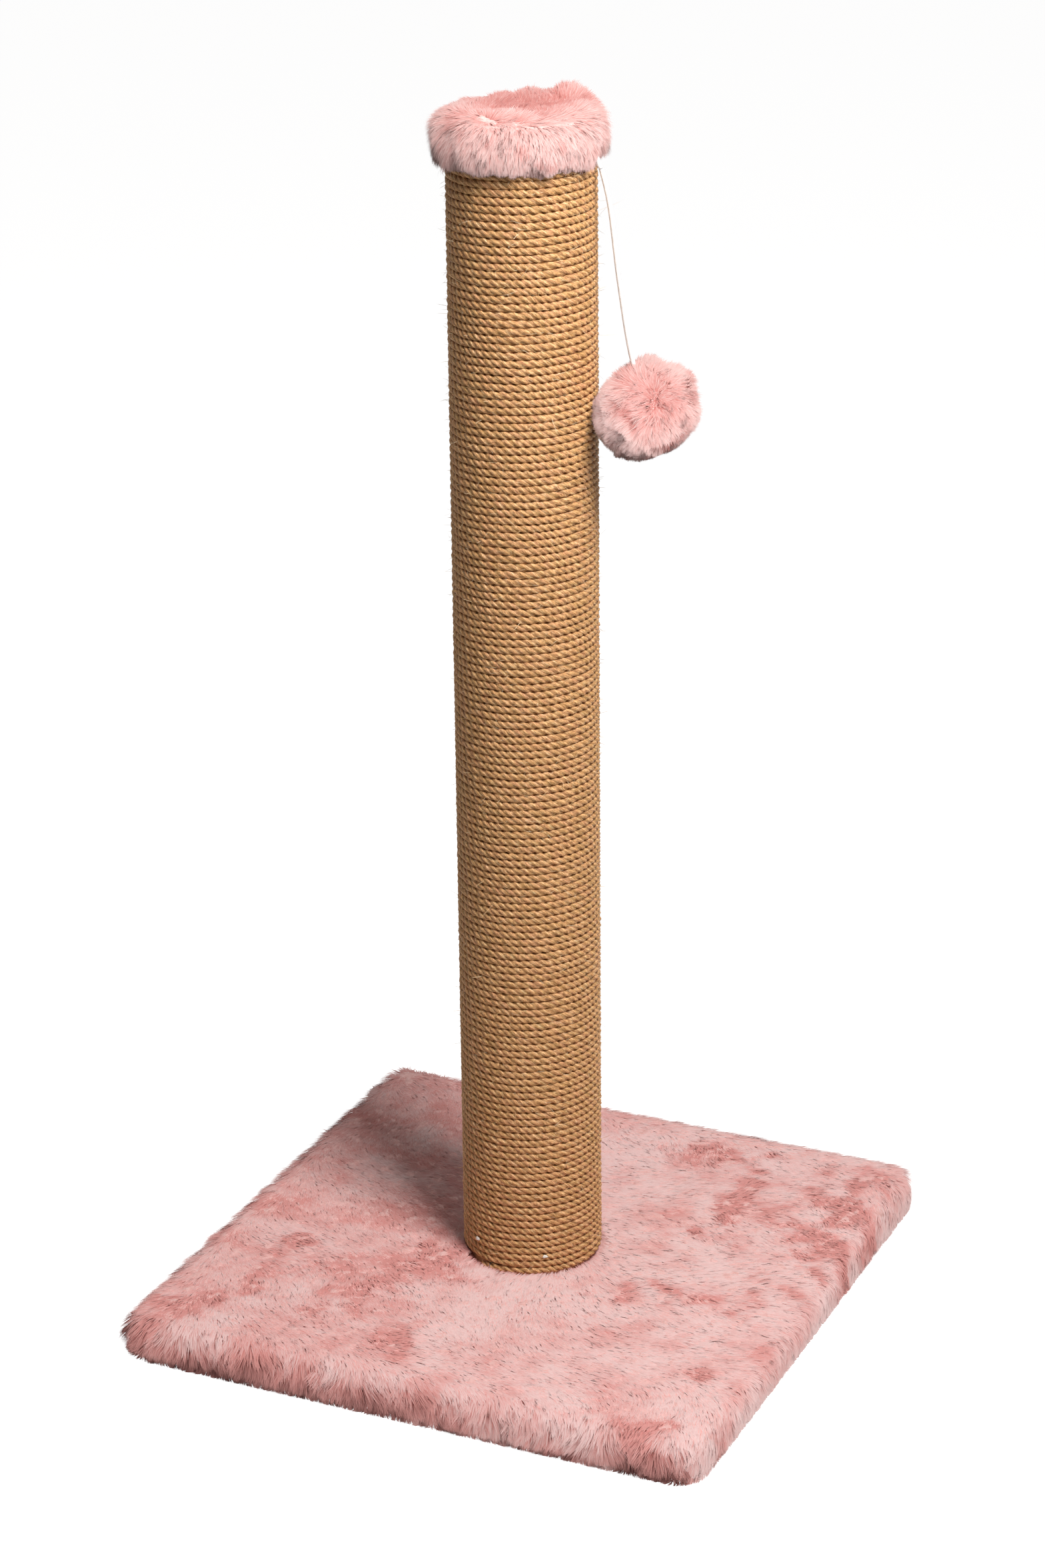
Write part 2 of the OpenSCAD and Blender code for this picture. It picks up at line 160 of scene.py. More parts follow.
def tube(path, radius, sides, side):
    # circles carried along a path, square to it; side is any direction that the path never takes
    ahead = unit(np.gradient(path, axis=0))
    across = unit(np.cross(np.broadcast_to(side, path.shape), ahead))
    up = np.cross(ahead, across)
    a = evenAngles(sides)
    ring = np.cos(a)[:, None] * across[:, None] + np.sin(a)[:, None] * up[:, None]
    faces, uv = tubeFaces(runAlong(path), sides)
    return (path[:, None] + ring * radius).reshape(-1, 3), faces, uv


def makePiece(name, points, faces, material, body, values=None, uv=None, smooth=True,
              normals=None):
    # one mesh from its points and lists of faces with 3, 4 or more corners; values holds numbers for each
    # point, uv a pair for each corner, and normals the shading's direction at each point
    mesh = bpy.data.meshes.new(name)
    corners = np.concatenate([f.ravel() for f in faces]).astype(np.int32)
    sizes = np.concatenate([np.full(len(f), f.shape[1]) for f in faces])
    mesh.vertices.add(len(points))
    mesh.vertices.foreach_set("co", np.asarray(points, np.float32).ravel())
    mesh.loops.add(len(corners))
    mesh.loops.foreach_set("vertex_index", corners)
    mesh.polygons.add(len(sizes))
    mesh.polygons.foreach_set("loop_start", np.concatenate([[0], np.cumsum(sizes)[:-1]]).astype(np.int32))
    mesh.polygons.foreach_set("use_smooth", np.full(len(sizes), smooth))
    mesh.update(calc_edges=True)
    for key, numbers in (values or {}).items():
        mesh.attributes.new(key, "FLOAT", "POINT").data.foreach_set("value", np.asarray(numbers, np.float32))
    if uv is not None:
        mesh.uv_layers.new(name="along").data.foreach_set("uv", np.asarray(uv, np.float32).ravel())
    if normals is not None:
        mesh.normals_split_custom_set_from_vertices(normals)
    mesh.materials.append(material)
    piece = bpy.data.objects.new(name, mesh)
    scene.collection.objects.link(piece)
    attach(piece, body)
    return piece


# Materials: the real finish first, then what it gives the eye

def linear(colour):
    # an sRGB hex colour as the linear numbers that shaders take
    parts = [int(colour[i:i + 2], 16) / 255 for i in (1, 3, 5)]
    return tuple(c / 12.92 if c <= 0.04045 else ((c + 0.055) / 1.055) ** 2.4 for c in parts) + (1,)


def add(tree, kind, sockets=None, stops=None, **settings):
    # adds a node with its settings, its socket values or links, and a ramp's stops
    made = tree.nodes.new("ShaderNode" + kind)
    for key, value in settings.items():
        setattr(made, key, value)
    for key, value in (sockets or {}).items():
        if isinstance(value, bpy.types.NodeSocket):
            tree.links.new(value, made.inputs[key])
        else:
            made.inputs[key].default_value = value
    if stops:
        while len(made.color_ramp.elements) < len(stops):
            made.color_ramp.elements.new(0.5)
        for element, (place, colour) in zip(made.color_ramp.elements, stops):
            element.position = place
            element.color = linear(colour)
    return made


def emptyTree(holder):
    # the node tree of a material or world, with nothing in it
    holder.use_nodes = True
    holder.node_tree.nodes.clear()
    return holder.node_tree


def startMaterial(name, **sockets):
    # a material with one shader whose plain values stand on its own sockets
    made = bpy.data.materials.new(name)
    tree = emptyTree(made)
    shader = add(tree, "BsdfPrincipled", {key.replace("_", " "): value for key, value in sockets.items()})
    add(tree, "OutputMaterial", {"Surface": shader.outputs[0]})
    return made, tree, shader


def colourFrom(tree, shader, socket, bump=None, strength=None, depth=None):
    # colour comes from one socket, and relief of a depth in metres from another
    tree.links.new(socket, shader.inputs["Base Color"])
    if bump:
        made = add(tree, "Bump", {"Height": bump, "Strength": strength, "Distance": depth})
        tree.links.new(made.outputs[0], shader.inputs["Normal"])


def pileMaterial(name, deep, middle, pale, parted, shadeTint):
    # Faux fur of polyester fibre, knitted and brushed: matt, darker and stronger in colour at the roots,
    # pale and silky at the tips. tone goes from 0 over 0.5, where the pile parts and its deep colour shows,
    # to 1, a painted mauve shade for pile that is turned from the light or lies in a hollow.
    made, tree, shader = startMaterial(name, Roughness=0.7, Sheen_Weight=0.12, Sheen_Roughness=0.5,
                                       Sheen_Tint=linear("#FFE9E6"), Specular_IOR_Level=0.2)
    tip = add(tree, "Attribute", attribute_name="tip")
    tone = add(tree, "Attribute", attribute_name="tone")
    colours = add(tree, "ValToRGB", {"Fac": tip.outputs["Fac"]}, [(0.0, deep), (0.45, middle), (1.0, pale)])
    tints = add(tree, "ValToRGB", {"Fac": tone.outputs["Fac"]},
                [(0.0, "#FFFFFF"), (0.5, parted), (1.0, shadeTint)])
    shaded = add(tree, "Mix", {0: 1.0, 6: colours.outputs[0], 7: tints.outputs[0]},
                 data_type="RGBA", blend_type="MULTIPLY")
    colourFrom(tree, shader, shaded.outputs[2])
    return made


def undercoatMaterial(name, low, high):
    # The dense short part of the same fur, seen only between the long fibres: matt, in flecks 3 mm wide,
    # which is a tuft's width.
    made, tree, shader = startMaterial(name, Roughness=0.9, Specular_IOR_Level=0.2)
    place = add(tree, "TexCoord")
    fleck = add(tree, "TexNoise", {"Vector": place.outputs["Object"], "Scale": 320.0, "Detail": 3.0})
    colours = add(tree, "ValToRGB", {"Fac": fleck.outputs["Fac"]}, [(0.3, low), (0.7, high)])
    colourFrom(tree, shader, colours.outputs[0], fleck.outputs["Fac"], 0.8, 0.0012)
    return made


def sisalMaterial():
    # Three-strand sisal rope: hard, slightly glossy straw fibres laid side by side, golden and brown in
    # random streaks, with pinkish and greenish lengths among them, and with painted shade in the grooves
    # between the strands.
    # The rope is 18.5 mm round. Its fibres are 0.2 mm wide, which is too fine to show, so they are drawn in
    # bundles 1.3 mm wide and 7 mm long and hairs 0.4 mm wide and 2.4 mm long. The tints are 17 mm long.
    made, tree, shader = startMaterial("sisalRope", Roughness=0.62, Specular_IOR_Level=0.35)
    along = add(tree, "UVMap", uv_map="along")
    fibres = add(tree, "Mapping", {"Vector": along.outputs[0], "Scale": (150.0, 14.0, 1.0)})
    fine = add(tree, "TexNoise", {"Vector": fibres.outputs[0], "Scale": 1.0, "Detail": 5.0, "Roughness": 0.7})
    lengths = add(tree, "Mapping", {"Vector": along.outputs[0], "Scale": (60.0, 3.0, 1.0)})
    broad = add(tree, "TexNoise", {"Vector": lengths.outputs[0], "Scale": 1.0, "Detail": 2.0})
    straw = add(tree, "ValToRGB", {"Fac": fine.outputs["Fac"]},
                [(0.36, "#9C6C3A"), (0.46, "#D5A069"), (0.54, "#F0BF84"), (0.63, "#FFE4B4")])
    tint = add(tree, "ValToRGB", {"Fac": broad.outputs["Fac"]},
               [(0.32, "#B38A48"), (0.5, "#EBB37A"), (0.68, "#E5A07D")])
    mixed = add(tree, "Mix", {0: 0.38, 6: straw.outputs[0], 7: tint.outputs[0]}, data_type="RGBA")
    hairs = add(tree, "Mapping", {"Vector": along.outputs[0], "Scale": (420.0, 48.0, 1.0)})
    hair = add(tree, "TexNoise", {"Vector": hairs.outputs[0], "Scale": 1.0, "Detail": 2.0})
    shade = add(tree, "ValToRGB", {"Fac": hair.outputs["Fac"]}, [(0.38, "#A3917C"), (0.56, "#FFFFFF")])
    combed = add(tree, "Mix", {0: 1.0, 6: mixed.outputs[2], 7: shade.outputs[0]}, data_type="RGBA",
                 blend_type="MULTIPLY")
    # painted shade: the grooves between the strands are darkened towards this brown
    grooveShade = add(tree, "Attribute", attribute_name="grooveShade")
    deep = add(tree, "Mix", {0: grooveShade.outputs["Fac"], 6: combed.outputs[2], 7: linear("#6B4522")},
               data_type="RGBA")
    colourFrom(tree, shader, deep.outputs[2], fine.outputs["Fac"], 0.75, 0.0006)
    return made


def fibreMaterial():
    # single sisal fibres that stand off the rope: pale straw, nearly white where they are fine
    made, tree, shader = startMaterial("sisalFibre", Roughness=0.55)
    tone = add(tree, "Attribute", attribute_name="tone")
    colours = add(tree, "ValToRGB", {"Fac": tone.outputs["Fac"]},
                  [(0.0, "#A77742"), (0.6, "#DDB57C"), (1.0, "#F6E3C0")])
    colourFrom(tree, shader, colours.outputs[0])
    return made


def cordMaterial():
    # Braided polyester cord: white, with a fine herringbone of yarns; light goes through its fibres.
    made, tree, shader = startMaterial("braidedPolyesterCord", Roughness=0.5, Subsurface_Weight=1.0,
                                       Subsurface_Radius=(1, 1, 1), Subsurface_Scale=0.003)
    along = add(tree, "UVMap", uv_map="along")
    # yarns 0.9 mm apart along the cord and 12 round it
    placed = add(tree, "Mapping", {"Vector": along.outputs[0], "Scale": (1100.0, 12.0, 1.0)})
    parts = add(tree, "SeparateXYZ", {0: placed.outputs[0]})
    leftYarn = add(tree, "Math", {0: parts.outputs[0], 1: parts.outputs[1]}, operation="ADD")
    rightYarn = add(tree, "Math", {0: parts.outputs[0], 1: parts.outputs[1]}, operation="SUBTRACT")
    left = add(tree, "Math", {0: leftYarn.outputs[0], 1: 1.0}, operation="PINGPONG")
    right = add(tree, "Math", {0: rightYarn.outputs[0], 1: 1.0}, operation="PINGPONG")
    braid = add(tree, "Math", {0: left.outputs[0], 1: right.outputs[0]}, operation="MAXIMUM")
    colours = add(tree, "ValToRGB", {"Fac": braid.outputs[0]}, [(0.0, "#DEDDDC"), (0.6, "#EEEDEC")])
    colourFrom(tree, shader, colours.outputs[0], braid.outputs[0], 0.4, 0.0002)
    return made


def grainMaterial(name, dark, light, scale, stretch, roughness, depth=0.0003):
    # Wood, board, wool or glue: a noise of scale grains to the metre, drawn out along its grain, in colour
    # and relief. A stretch of 8 makes the grain 8 times finer along that axis.
    made, tree, shader = startMaterial(name, Roughness=roughness, Specular_IOR_Level=0.25)
    place = add(tree, "TexCoord")
    drawn = add(tree, "Mapping", {"Vector": place.outputs["Object"], "Scale": stretch})
    grain = add(tree, "TexNoise",
                {"Vector": drawn.outputs[0], "Scale": scale, "Detail": 5.0, "Roughness": 0.6})
    colours = add(tree, "ValToRGB", {"Fac": grain.outputs["Fac"]}, [(0.3, dark), (0.7, light)])
    colourFrom(tree, shader, colours.outputs[0], grain.outputs["Fac"], 0.5, depth)
    return made


def cardMaterial():
    # Cardboard tube, wound on the slant from brown paper 60 mm wide: matt, with a seam line and short
    # fibres, drawn 2 mm long.
    made, tree, shader = startMaterial("spiralCardboard", Roughness=0.85, Specular_IOR_Level=0.2)
    place = add(tree, "TexCoord")
    parts = add(tree, "SeparateXYZ", {0: place.outputs["Object"]})
    angle = add(tree, "Math", {0: parts.outputs[1], 1: parts.outputs[0]}, operation="ARCTAN2")
    climb = add(tree, "Math", {0: angle.outputs[0], 1: 1 / (2 * math.pi), 2: 0.0},
                operation="MULTIPLY_ADD")
    height = add(tree, "Math", {0: parts.outputs[2], 1: 1 / 0.06, 2: climb.outputs[0]},
                 operation="MULTIPLY_ADD")
    share = add(tree, "Math", {0: height.outputs[0]}, operation="FRACT")
    seam = add(tree, "ValToRGB", {"Fac": share.outputs[0]},
               [(0.0, "#7E6242"), (0.02, "#B9976C"), (1.0, "#B49065")])
    fibre = add(tree, "TexNoise", {"Vector": place.outputs["Object"], "Scale": 450.0, "Detail": 4.0})
    mixed = add(tree, "Mix", {0: fibre.outputs["Fac"], 6: seam.outputs[0], 7: linear("#A5825A")},
                data_type="RGBA")
    colourFrom(tree, shader, mixed.outputs[2], fibre.outputs["Fac"], 0.3, 0.0002)
    return made


def steelMaterial(name, dark, light, roughness, scale):
    # Zinc plate or drawn wire: grey metal with a slightly blue bloom and handling marks, scale of them to
    # the metre.
    made, tree, shader = startMaterial(name, Metallic=1.0)
    place = add(tree, "TexCoord")
    marks = add(tree, "TexNoise", {"Vector": place.outputs["Object"], "Scale": scale, "Detail": 4.0})
    colours = add(tree, "ValToRGB", {"Fac": marks.outputs["Fac"]}, [(0.3, dark), (0.7, light)])
    rough = add(tree, "MapRange",
                {"Value": marks.outputs["Fac"], "To Min": roughness, "To Max": roughness + 0.2})
    tree.links.new(rough.outputs[0], shader.inputs["Roughness"])
    colourFrom(tree, shader, colours.outputs[0], marks.outputs["Fac"], 0.1, 0.0001)
    return made


# colours of the fibres' roots, middles and tips, and the tints where the pile parts and where painted shade
# darkens it
pileOfBase = pileMaterial("polyesterPileBase", "#BF8B85", "#CAAAA6", "#D4BEBB", "#F0C4BF", "#8E6662")
pileOfCap = pileMaterial("polyesterPileCap", "#B06C65", "#BA938D", "#C1ABA7", "#E2ABA5", "#8E6662")
undercoat = undercoatMaterial("polyesterUndercoat", "#CD9C95", "#D8B0AB")
sisal = sisalMaterial()
sisalFibre = fibreMaterial()
whiteCord = cordMaterial()
# wool pressed flat: tufts of 1.4 mm
feltCloth = grainMaterial("needledFelt", "#2B2929", "#4A4746", 700.0, (1, 1, 1), 0.95, 0.0004)
# chips 4 mm wide
chipboard = grainMaterial("chipboard", "#A47E4E", "#D9B983", 260.0, (1, 1, 0.5), 0.8)
# sawn softwood: grain lines 2 mm apart
pineWood = grainMaterial("pineWood", "#B98A55", "#E3C08D", 60.0, (1, 8, 1), 0.65)
# loose white fibre in lumps of 3 mm
wadding = grainMaterial("polyesterWadding", "#DAD6CF", "#F7F5F1", 300.0, (1, 1, 1), 0.95, 0.001)
cardboard = cardMaterial()
# marks 2 mm wide on the plate and 1 mm on the wire, whose own are finer than the render shows
zincSteel = steelMaterial("zincPlatedSteel", "#9EA3A8", "#C9CDD1", 0.3, 500.0)
steelWire = steelMaterial("drawnSteelWire", "#8F9396", "#B9BCC0", 0.25, 900.0)
# slightly glossy drops with lumps of 1.2 mm
driedGlue = grainMaterial("driedWhiteGlue", "#D9D2C3", "#F3EFE6", 800.0, (1, 1, 1), 0.4, 0.0002)
print("materials made")


# Camera, at the photograph's angle, fitted to the base's corners and the post's outline

cameraFit = {
    "photoHeight": 2352,      # pixels
    "focalPixels": 5842,
    "azimuth": 24.81,         # degrees from -Y towards +X, where the camera stands
    "elevation": 22.09,
    "roll": -0.66,
    "distance": 3.212,        # from the middle of the post
    "middle": (0, 0, 0.5),
    "right": -0.0046,         # how far the camera stands beside that line
    "up": -0.0338,
}


def wayTo(azimuth, elevation):
    # direction from the object to a camera or lamp: azimuth from -Y towards +X, elevation over the floor
    a, e = math.radians(azimuth), math.radians(elevation)
    return np.array([math.sin(a) * math.cos(e), -math.cos(a) * math.cos(e), math.sin(e)])


def stand(name, data, right, up, back, place):
    # puts a camera or lamp in the scene by its place and its own axes; it looks against back
    holder = bpy.data.objects.new(name, data)
    scene.collection.objects.link(holder)
    holder.matrix_world = Matrix([*np.stack([right, up, back, place], 1).tolist(), [0, 0, 0, 1]])
    return holder


def placeCamera(fit):
    # the place is the post's middle moved along level axes, which are rolled afterwards
    azimuth, roll = math.radians(fit["azimuth"]), math.radians(fit["roll"])
    back = wayTo(fit["azimuth"], fit["elevation"])
    right = np.array([math.cos(azimuth), math.sin(azimuth), 0])
    up = np.cross(back, right)
    place = np.array(fit["middle"]) + back * fit["distance"] + right * fit["right"] + up * fit["up"]
    rolledRight = right * math.cos(roll) + up * math.sin(roll)
    rolledUp = up * math.cos(roll) - right * math.sin(roll)
    data = bpy.data.cameras.new("camera")
    data.sensor_width = 36
    data.lens = fit["focalPixels"] / fit["photoHeight"] * data.sensor_width
    scene.camera = stand("camera", data, rolledRight, rolledUp, back, place)
    return rolledRight, rolledUp, back


viewRight, viewUp, viewBack = placeCamera(cameraFit)
print("camera placed")


# Cord: its points stand out from the rope's surface and up from the cap's hem, in the plane where it hangs

cordPlan = {
    "diameter": 0.0038,
    "sides": 14,              # of a cross-section
    "hangAngle": 4.5,         # degrees from +X
    "lean": 14,               # of the cord where it enters the ball
    "knotHalf": 0.004,        # the free stretch ends this far from the ball's middle
    "hidden": [(-0.024, 0.0336), (-0.016, 0.0336), (-0.009, 0.0338), (-0.0045, 0.0336), (-0.0005, 0.0305),
               (0.002, 0.023), (0.0024, 0.015), (0.0024, 0.007), (0.0034, 0.001), (0.0058, -0.004)],
    "free": [(0.0058, -0.004), (0.008, -0.012), (0.0103, -0.021), (0.0122, -0.030), (0.0138, -0.040),
             (0.0151, -0.050), (0.0163, -0.060), (0.0175, -0.070), (0.0187, -0.080), (0.020, -0.090),
             (0.0215, -0.100), (0.023, -0.110), (0.0245, -0.120), (0.0261, -0.130), (0.0279, -0.140),
             (0.030, -0.150), (0.0325, -0.160), (0.035, -0.170), (0.0375, -0.180), (0.0417, -0.197)],
}


def hung(points):
    # pairs out and up in the plane in which the cord hangs, turned to their place
    out, up = np.asarray(points, float).T
    x, y = turned(ropeOuter + out, 0 * out, cordPlan["hangAngle"])
    return np.stack([x, y, hemZ + up], 1)


def turnedToBall(points):
    # from a ball that stands on the z axis to the ball's own place and lean on the cord
    lean = math.radians(-cordPlan["lean"])
    x, y, z = points.T
    x, z = math.cos(lean) * x + math.sin(lean) * z, math.cos(lean) * z - math.sin(lean) * x
    x, y = turned(x, y, cordPlan["hangAngle"])
    return np.stack([x, y, z], 1) + ballCentre


def cordPiece(name, path, radius, sides, side, body):
    # a stretch of white cord along a path
    points, faces, uv = tube(path, radius, sides, side)
    return makePiece(name, points, faces, whiteCord, body, uv=uv)


ballCentre = hung(cordPlan["free"][-1:])[0]
cordRadius = cordPlan["diameter"] / 2
freeRoute = np.array(cordPlan["free"])
freeRoute[-1] += unit(freeRoute[-2] - freeRoute[-1]) * cordPlan["knotHalf"]
freePath = smoothCurve(hung(freeRoute), 150)
exitX, exitY, _ = hung([(0, 0)])[0]
beside = (exitY, -exitX, 0)         # square to the plane in which the cord hangs

cord = cordPiece("cordFree", freePath, cordRadius, cordPlan["sides"], beside, "hanging_cord")
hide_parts("cord")
hiddenPath = smoothCurve(hung(cordPlan["hidden"]), 60)
cordTop = cordPiece("cordUnderCap", hiddenPath, cordRadius, cordPlan["sides"], beside, "post")
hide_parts("cord_fixed_end")

# a round of the cord's own width, on which the free stretch turns
points, faces = ballGrid(9, 16)
bendBall = makePiece("cordBendRound", points * cordRadius + freePath[0], faces, whiteCord, "cord_bend",
                     uv=np.zeros((sum(f.size for f in faces), 2)))
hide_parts("cord_bend")

knotPlan = {
    "size": 0.0022,           # radius of the ring that the cord goes round
    "cordRadius": 0.0013,     # the cord is pulled thin in the knot
    "openEnd": 0.25,          # angle that is left out at each end
    "swing": 0.42,            # of the way round, in and out
    "height": 0.55,           # against that radius
}


def knotPath(count=120):
    # trefoil: the way round goes twice while the cord weaves over and under three times
    k = knotPlan
    t = np.linspace(k["openEnd"], 2 * np.pi - k["openEnd"], count)
    return polar(1 + k["swing"] * np.cos(3 * t), 2 * t, k["height"] * np.sin(3 * t)) * k["size"]


knot = cordPiece("cordKnotTied", turnedToBall(knotPath()), knotPlan["cordRadius"], 12, (0.3, 0.9, 0.2),
                 "hanging_cord")
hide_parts("cord_knot")


# Rope: one unbroken helix from the lower end to the upper end

rope = {
    "diameter": 0.0059,
    "pitch": 0.0064,
    "startAngle": -114,       # degrees from +X, where the lower end lies; the upper end lies at +X
    "tailTurn": 0.12,         # share of a turn over which an end bends away
    "tailDip": 0.003,
    "lay": 0.0215,            # length in which a strand goes once round the rope
    "step": 0.0021,           # length of rope between two cross-sections
    "pieces": 5,
    "strandCentre": 0.42,     # of the rope's radius
    "sides": 12,              # of a cross-section, four for each strand
    "height": 1.24,           # of a cross-section, against its width: the turns press on the tube
    # how far painted shade darkens the grooves between the strands
    "paintedGrooveShade": 0.55,
    "wander": (0.00012, 0.00008),  # of the turns up and down, in long and in short waves
    "unevenness": 0.00006,    # of their distance from the tube
    "swelling": 0.035,        # of each strand by itself
    "seed": 7,
}


def ropeSection(sides):
    # outline of three equal strands pressed together: distance from the middle at each of sides directions,
    # relative to the rope's radius; each strand is a circle round a point at strandCentre
    a = evenAngles(sides)
    near = (a + np.pi / 3) % (2 * np.pi / 3) - np.pi / 3
    c = rope["strandCentre"]
    return a, c * np.cos(near) + np.sqrt((1 - c) ** 2 - (c * np.sin(near)) ** 2)


def makeRope():
    # the middle line is a helix whose ends bend away; three strands are turned round it as it runs, and the
    # noise is read on a spool that has the same turns further apart
    lowNode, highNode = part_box("rope_lower_turns"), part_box("rope_upper_turns")
    r, dip, sides, seed = rope["diameter"] / 2, rope["tailDip"], rope["sides"], rope["seed"]
    lowZ, highZ = lowNode[0].z + r + dip, highNode[1].z - r - dip
    helixRadius = ropeOuter - r
    extra = -rope["startAngle"] / 360
    turns = round((highZ - lowZ) / rope["pitch"] - extra) + extra
    rings = int(turns * 2 * math.pi * helixRadius / rope["step"])
    t = np.linspace(0, turns, rings)                 # turns from the lower end
    a = math.radians(rope["startAngle"]) + 2 * np.pi * t
    spool = polar(1, a, t * 0.08)
    longWander, shortWander = rope["wander"]
    wander = longWander * waves(spool, 0.5, seed) + shortWander * waves(spool, 0.11, seed + 1)
    z = lowZ + (highZ - lowZ) * t / turns + wander
    z -= dip * np.maximum(0, 1 - t / rope["tailTurn"]) ** 2
    z += dip * np.maximum(0, 1 - (turns - t) / rope["tailTurn"]) ** 2
    centre = polar(helixRadius + rope["unevenness"] * waves(spool, 0.17, seed + 2), a, z)
    outward = polar(1, a, 0)
    up = np.cross(unit(np.gradient(centre, axis=0)), outward) * -1
    run = runAlong(centre)
    twist = -2 * np.pi * run / rope["lay"] + 0.5 * waves(spool, 0.9, seed + 3)
    section, reach = ropeSection(sides)
    around = section[None] + twist[:, None]
    size = r * (1 + 0.02 * waves(spool, 0.2, seed + 4))
    swell = 1 + rope["swelling"] * drift(spool * (1, 1, 1.7), 0.07, 40)[:, np.arange(sides) // 4]
    distance = size[:, None] * reach[None] * swell
    points = (centre[:, None] + outward[:, None] * (distance * np.cos(around))[..., None]
              + up[:, None] * (distance * np.sin(around) * rope["height"])[..., None])
    # painted shade in the grooves between the strands, where the outline comes nearest the middle
    grooveShade = np.broadcast_to(ramp(-reach, -0.97, -0.74) * rope["paintedGrooveShade"], distance.shape)
    grooveShade = grooveShade * (1 + 0.35 * waves(spool, 0.025, seed + 5))[:, None].clip(0, 1.5)
    edges = np.linspace(0, rings - 1, rope["pieces"] + 1).astype(int)
    for k, (first, last) in enumerate(zip(edges[:-1], edges[1:])):
        faces, uv = tubeFaces(run[first:last + 1], sides)
        makePiece(f"sisalRope{k + 1}", points[first:last + 1].reshape(-1, 3), faces, sisal,
                              "post", {"grooveShade": grooveShade[first:last + 1].ravel()}, uv)
    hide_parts("rope_lower_turns", "rope_middle", "rope_upper_turns")
    return lowZ, highZ


ropeLow, ropeHigh = makeRope()
print("rope wound")


# Loose fibres on the rope, and two dried spots of glue at its foot

fibrePlan = {
    "count": 9000,
    "shortest": 0.003,
    "longer": (1.5, 0.0022),  # gamma spread of what comes on top of the shortest length
    "longest": 0.018,         # on top of the shortest
    "width": (0.00006, 0.00013),
    "seed": 21,
}


def makeFibres():
    # fibres that have come loose: each starts on the winding, leaves it on the slant and bends over
    plan = fibrePlan
    count = plan["count"]
    draw = np.random.default_rng(plan["seed"])
    a = draw.uniform(0, 2 * np.pi, count)
    z = draw.uniform(ropeLow, ropeHigh, count)
    outward = polar(1, a, 0)
    roundTube = np.stack([-np.sin(a), np.cos(a), 0 * a], 1)
    start = outward * (ropeOuter - 0.0012) + z[:, None] * (0, 0, 1)
    length = plan["shortest"] + draw.gamma(*plan["longer"], count).clip(0, plan["longest"])
    lift = draw.uniform(0.05, 0.40, count)[:, None] * (0.012 / (0.006 + length))[:, None].clip(0, 1)
    tangent = unit(roundTube * draw.choice([-1, 1], count)[:, None] + 0.55 * draw.normal(size=(count, 3)))
    bend = 0.5 * draw.normal(size=(count, 3))
    steps = [0, 0.35, 0.7, 1]
    line = [start + length[:, None] * (s * unit(tangent + lift * outward) + s * s * 0.35 * bend)
            for s in steps]
    line = [p * np.maximum(1, (ropeOuter - 0.0004) / np.linalg.norm(p[:, :2], axis=1))[:, None] ** (1, 1, 0)
            for p in line]
    width = draw.uniform(*plan["width"], count)[:, None]
    side = unit(np.cross(tangent, outward))
    points = np.stack([p + side * width * w * s for p, w in zip(line[:3], (1, 1, 0.8)) for s in (-1, 1)]
                      + [line[3]], 1)
    base = np.arange(count)[:, None] * 7
    quads = np.concatenate([base + (0, 1, 3, 2), base + (2, 3, 5, 4)])
    tone = np.repeat(draw.uniform(0, 1, count), 7)
    makePiece("sisalLooseFibres", points.reshape(-1, 3), [quads, base + (4, 5, 6)], sisalFibre, "post",
              {"tone": tone})


makeFibres()
print("loose fibres laid")

gluePlan = {
    "thickness": 0.0009,
    # direction from +X in degrees, height, half width
    "drops": [(-117.5, 0.0576, 0.0024), (-55.5, 0.0517, 0.0020)],
}


def makeGlue():
    # dried drops at the winding's foot: flat lumps on the rope's surface
    for k, (degrees, z, size) in enumerate(gluePlan["drops"]):
        lump, faces = ballGrid(10, 20)
        swell = 1 + 0.12 * waves(lump, 0.9, 130 + k)
        lump = lump * swell[:, None] * (gluePlan["thickness"], size, 0.7 * size)
        x, y = turned(lump[:, 0] + ropeOuter, lump[:, 1], degrees)
        makePiece(f"driedGlue{k + 1}", np.stack([x, y, lump[:, 2] + z], 1), faces, driedGlue, "post")


makeGlue()
print("glue spots laid")


# Fur: every strand is a narrow blade that bends once, and neighbouring strands lean together in tufts

strandShape = {
    "parts": (0.55, 0.45),    # shares of the length below and above the bend
    "stray": (0.08, 0.11),    # how far each of these parts strays, against its length
    "flatStray": 0.7,         # share of the straying off the skin that is taken away
    "widths": (0.7, 1.25),    # least and greatest, against the mean
    "roll": 0.08,             # radians, spread of the turn round its own length
    "skinShade": 0.75,        # weight of the skin's normal in the shading
    "tuftBend": 0.45,         # how far the bend joins its tuft, against the tip
}
keyDirection = np.array([0.50, -0.32, 0.81])      # the way to the key lamp


def tufts(roots, values, size, seed):
    # mean of each value over the strands whose roots share a cell of a grid that noise has bent; large primes
    # make one number of a cell's three
    bent = roots + size * 0.45 * drift(roots, size * 4, seed, 10)
    cell = np.floor(bent / size).astype(np.int64) @ np.array([73856093, 19349663, 83492791])
    member = np.unique(cell, return_inverse=True)[1]
    counts = np.bincount(member)
    return [np.stack([np.bincount(member, v[:, k]) / counts for k in range(3)], 1)[member] for v in values]


def inSkin(lay, normals):
    # the part of each direction that lies in the skin, one unit long
    return unit(lay - normals * (lay * normals).sum(1)[:, None])


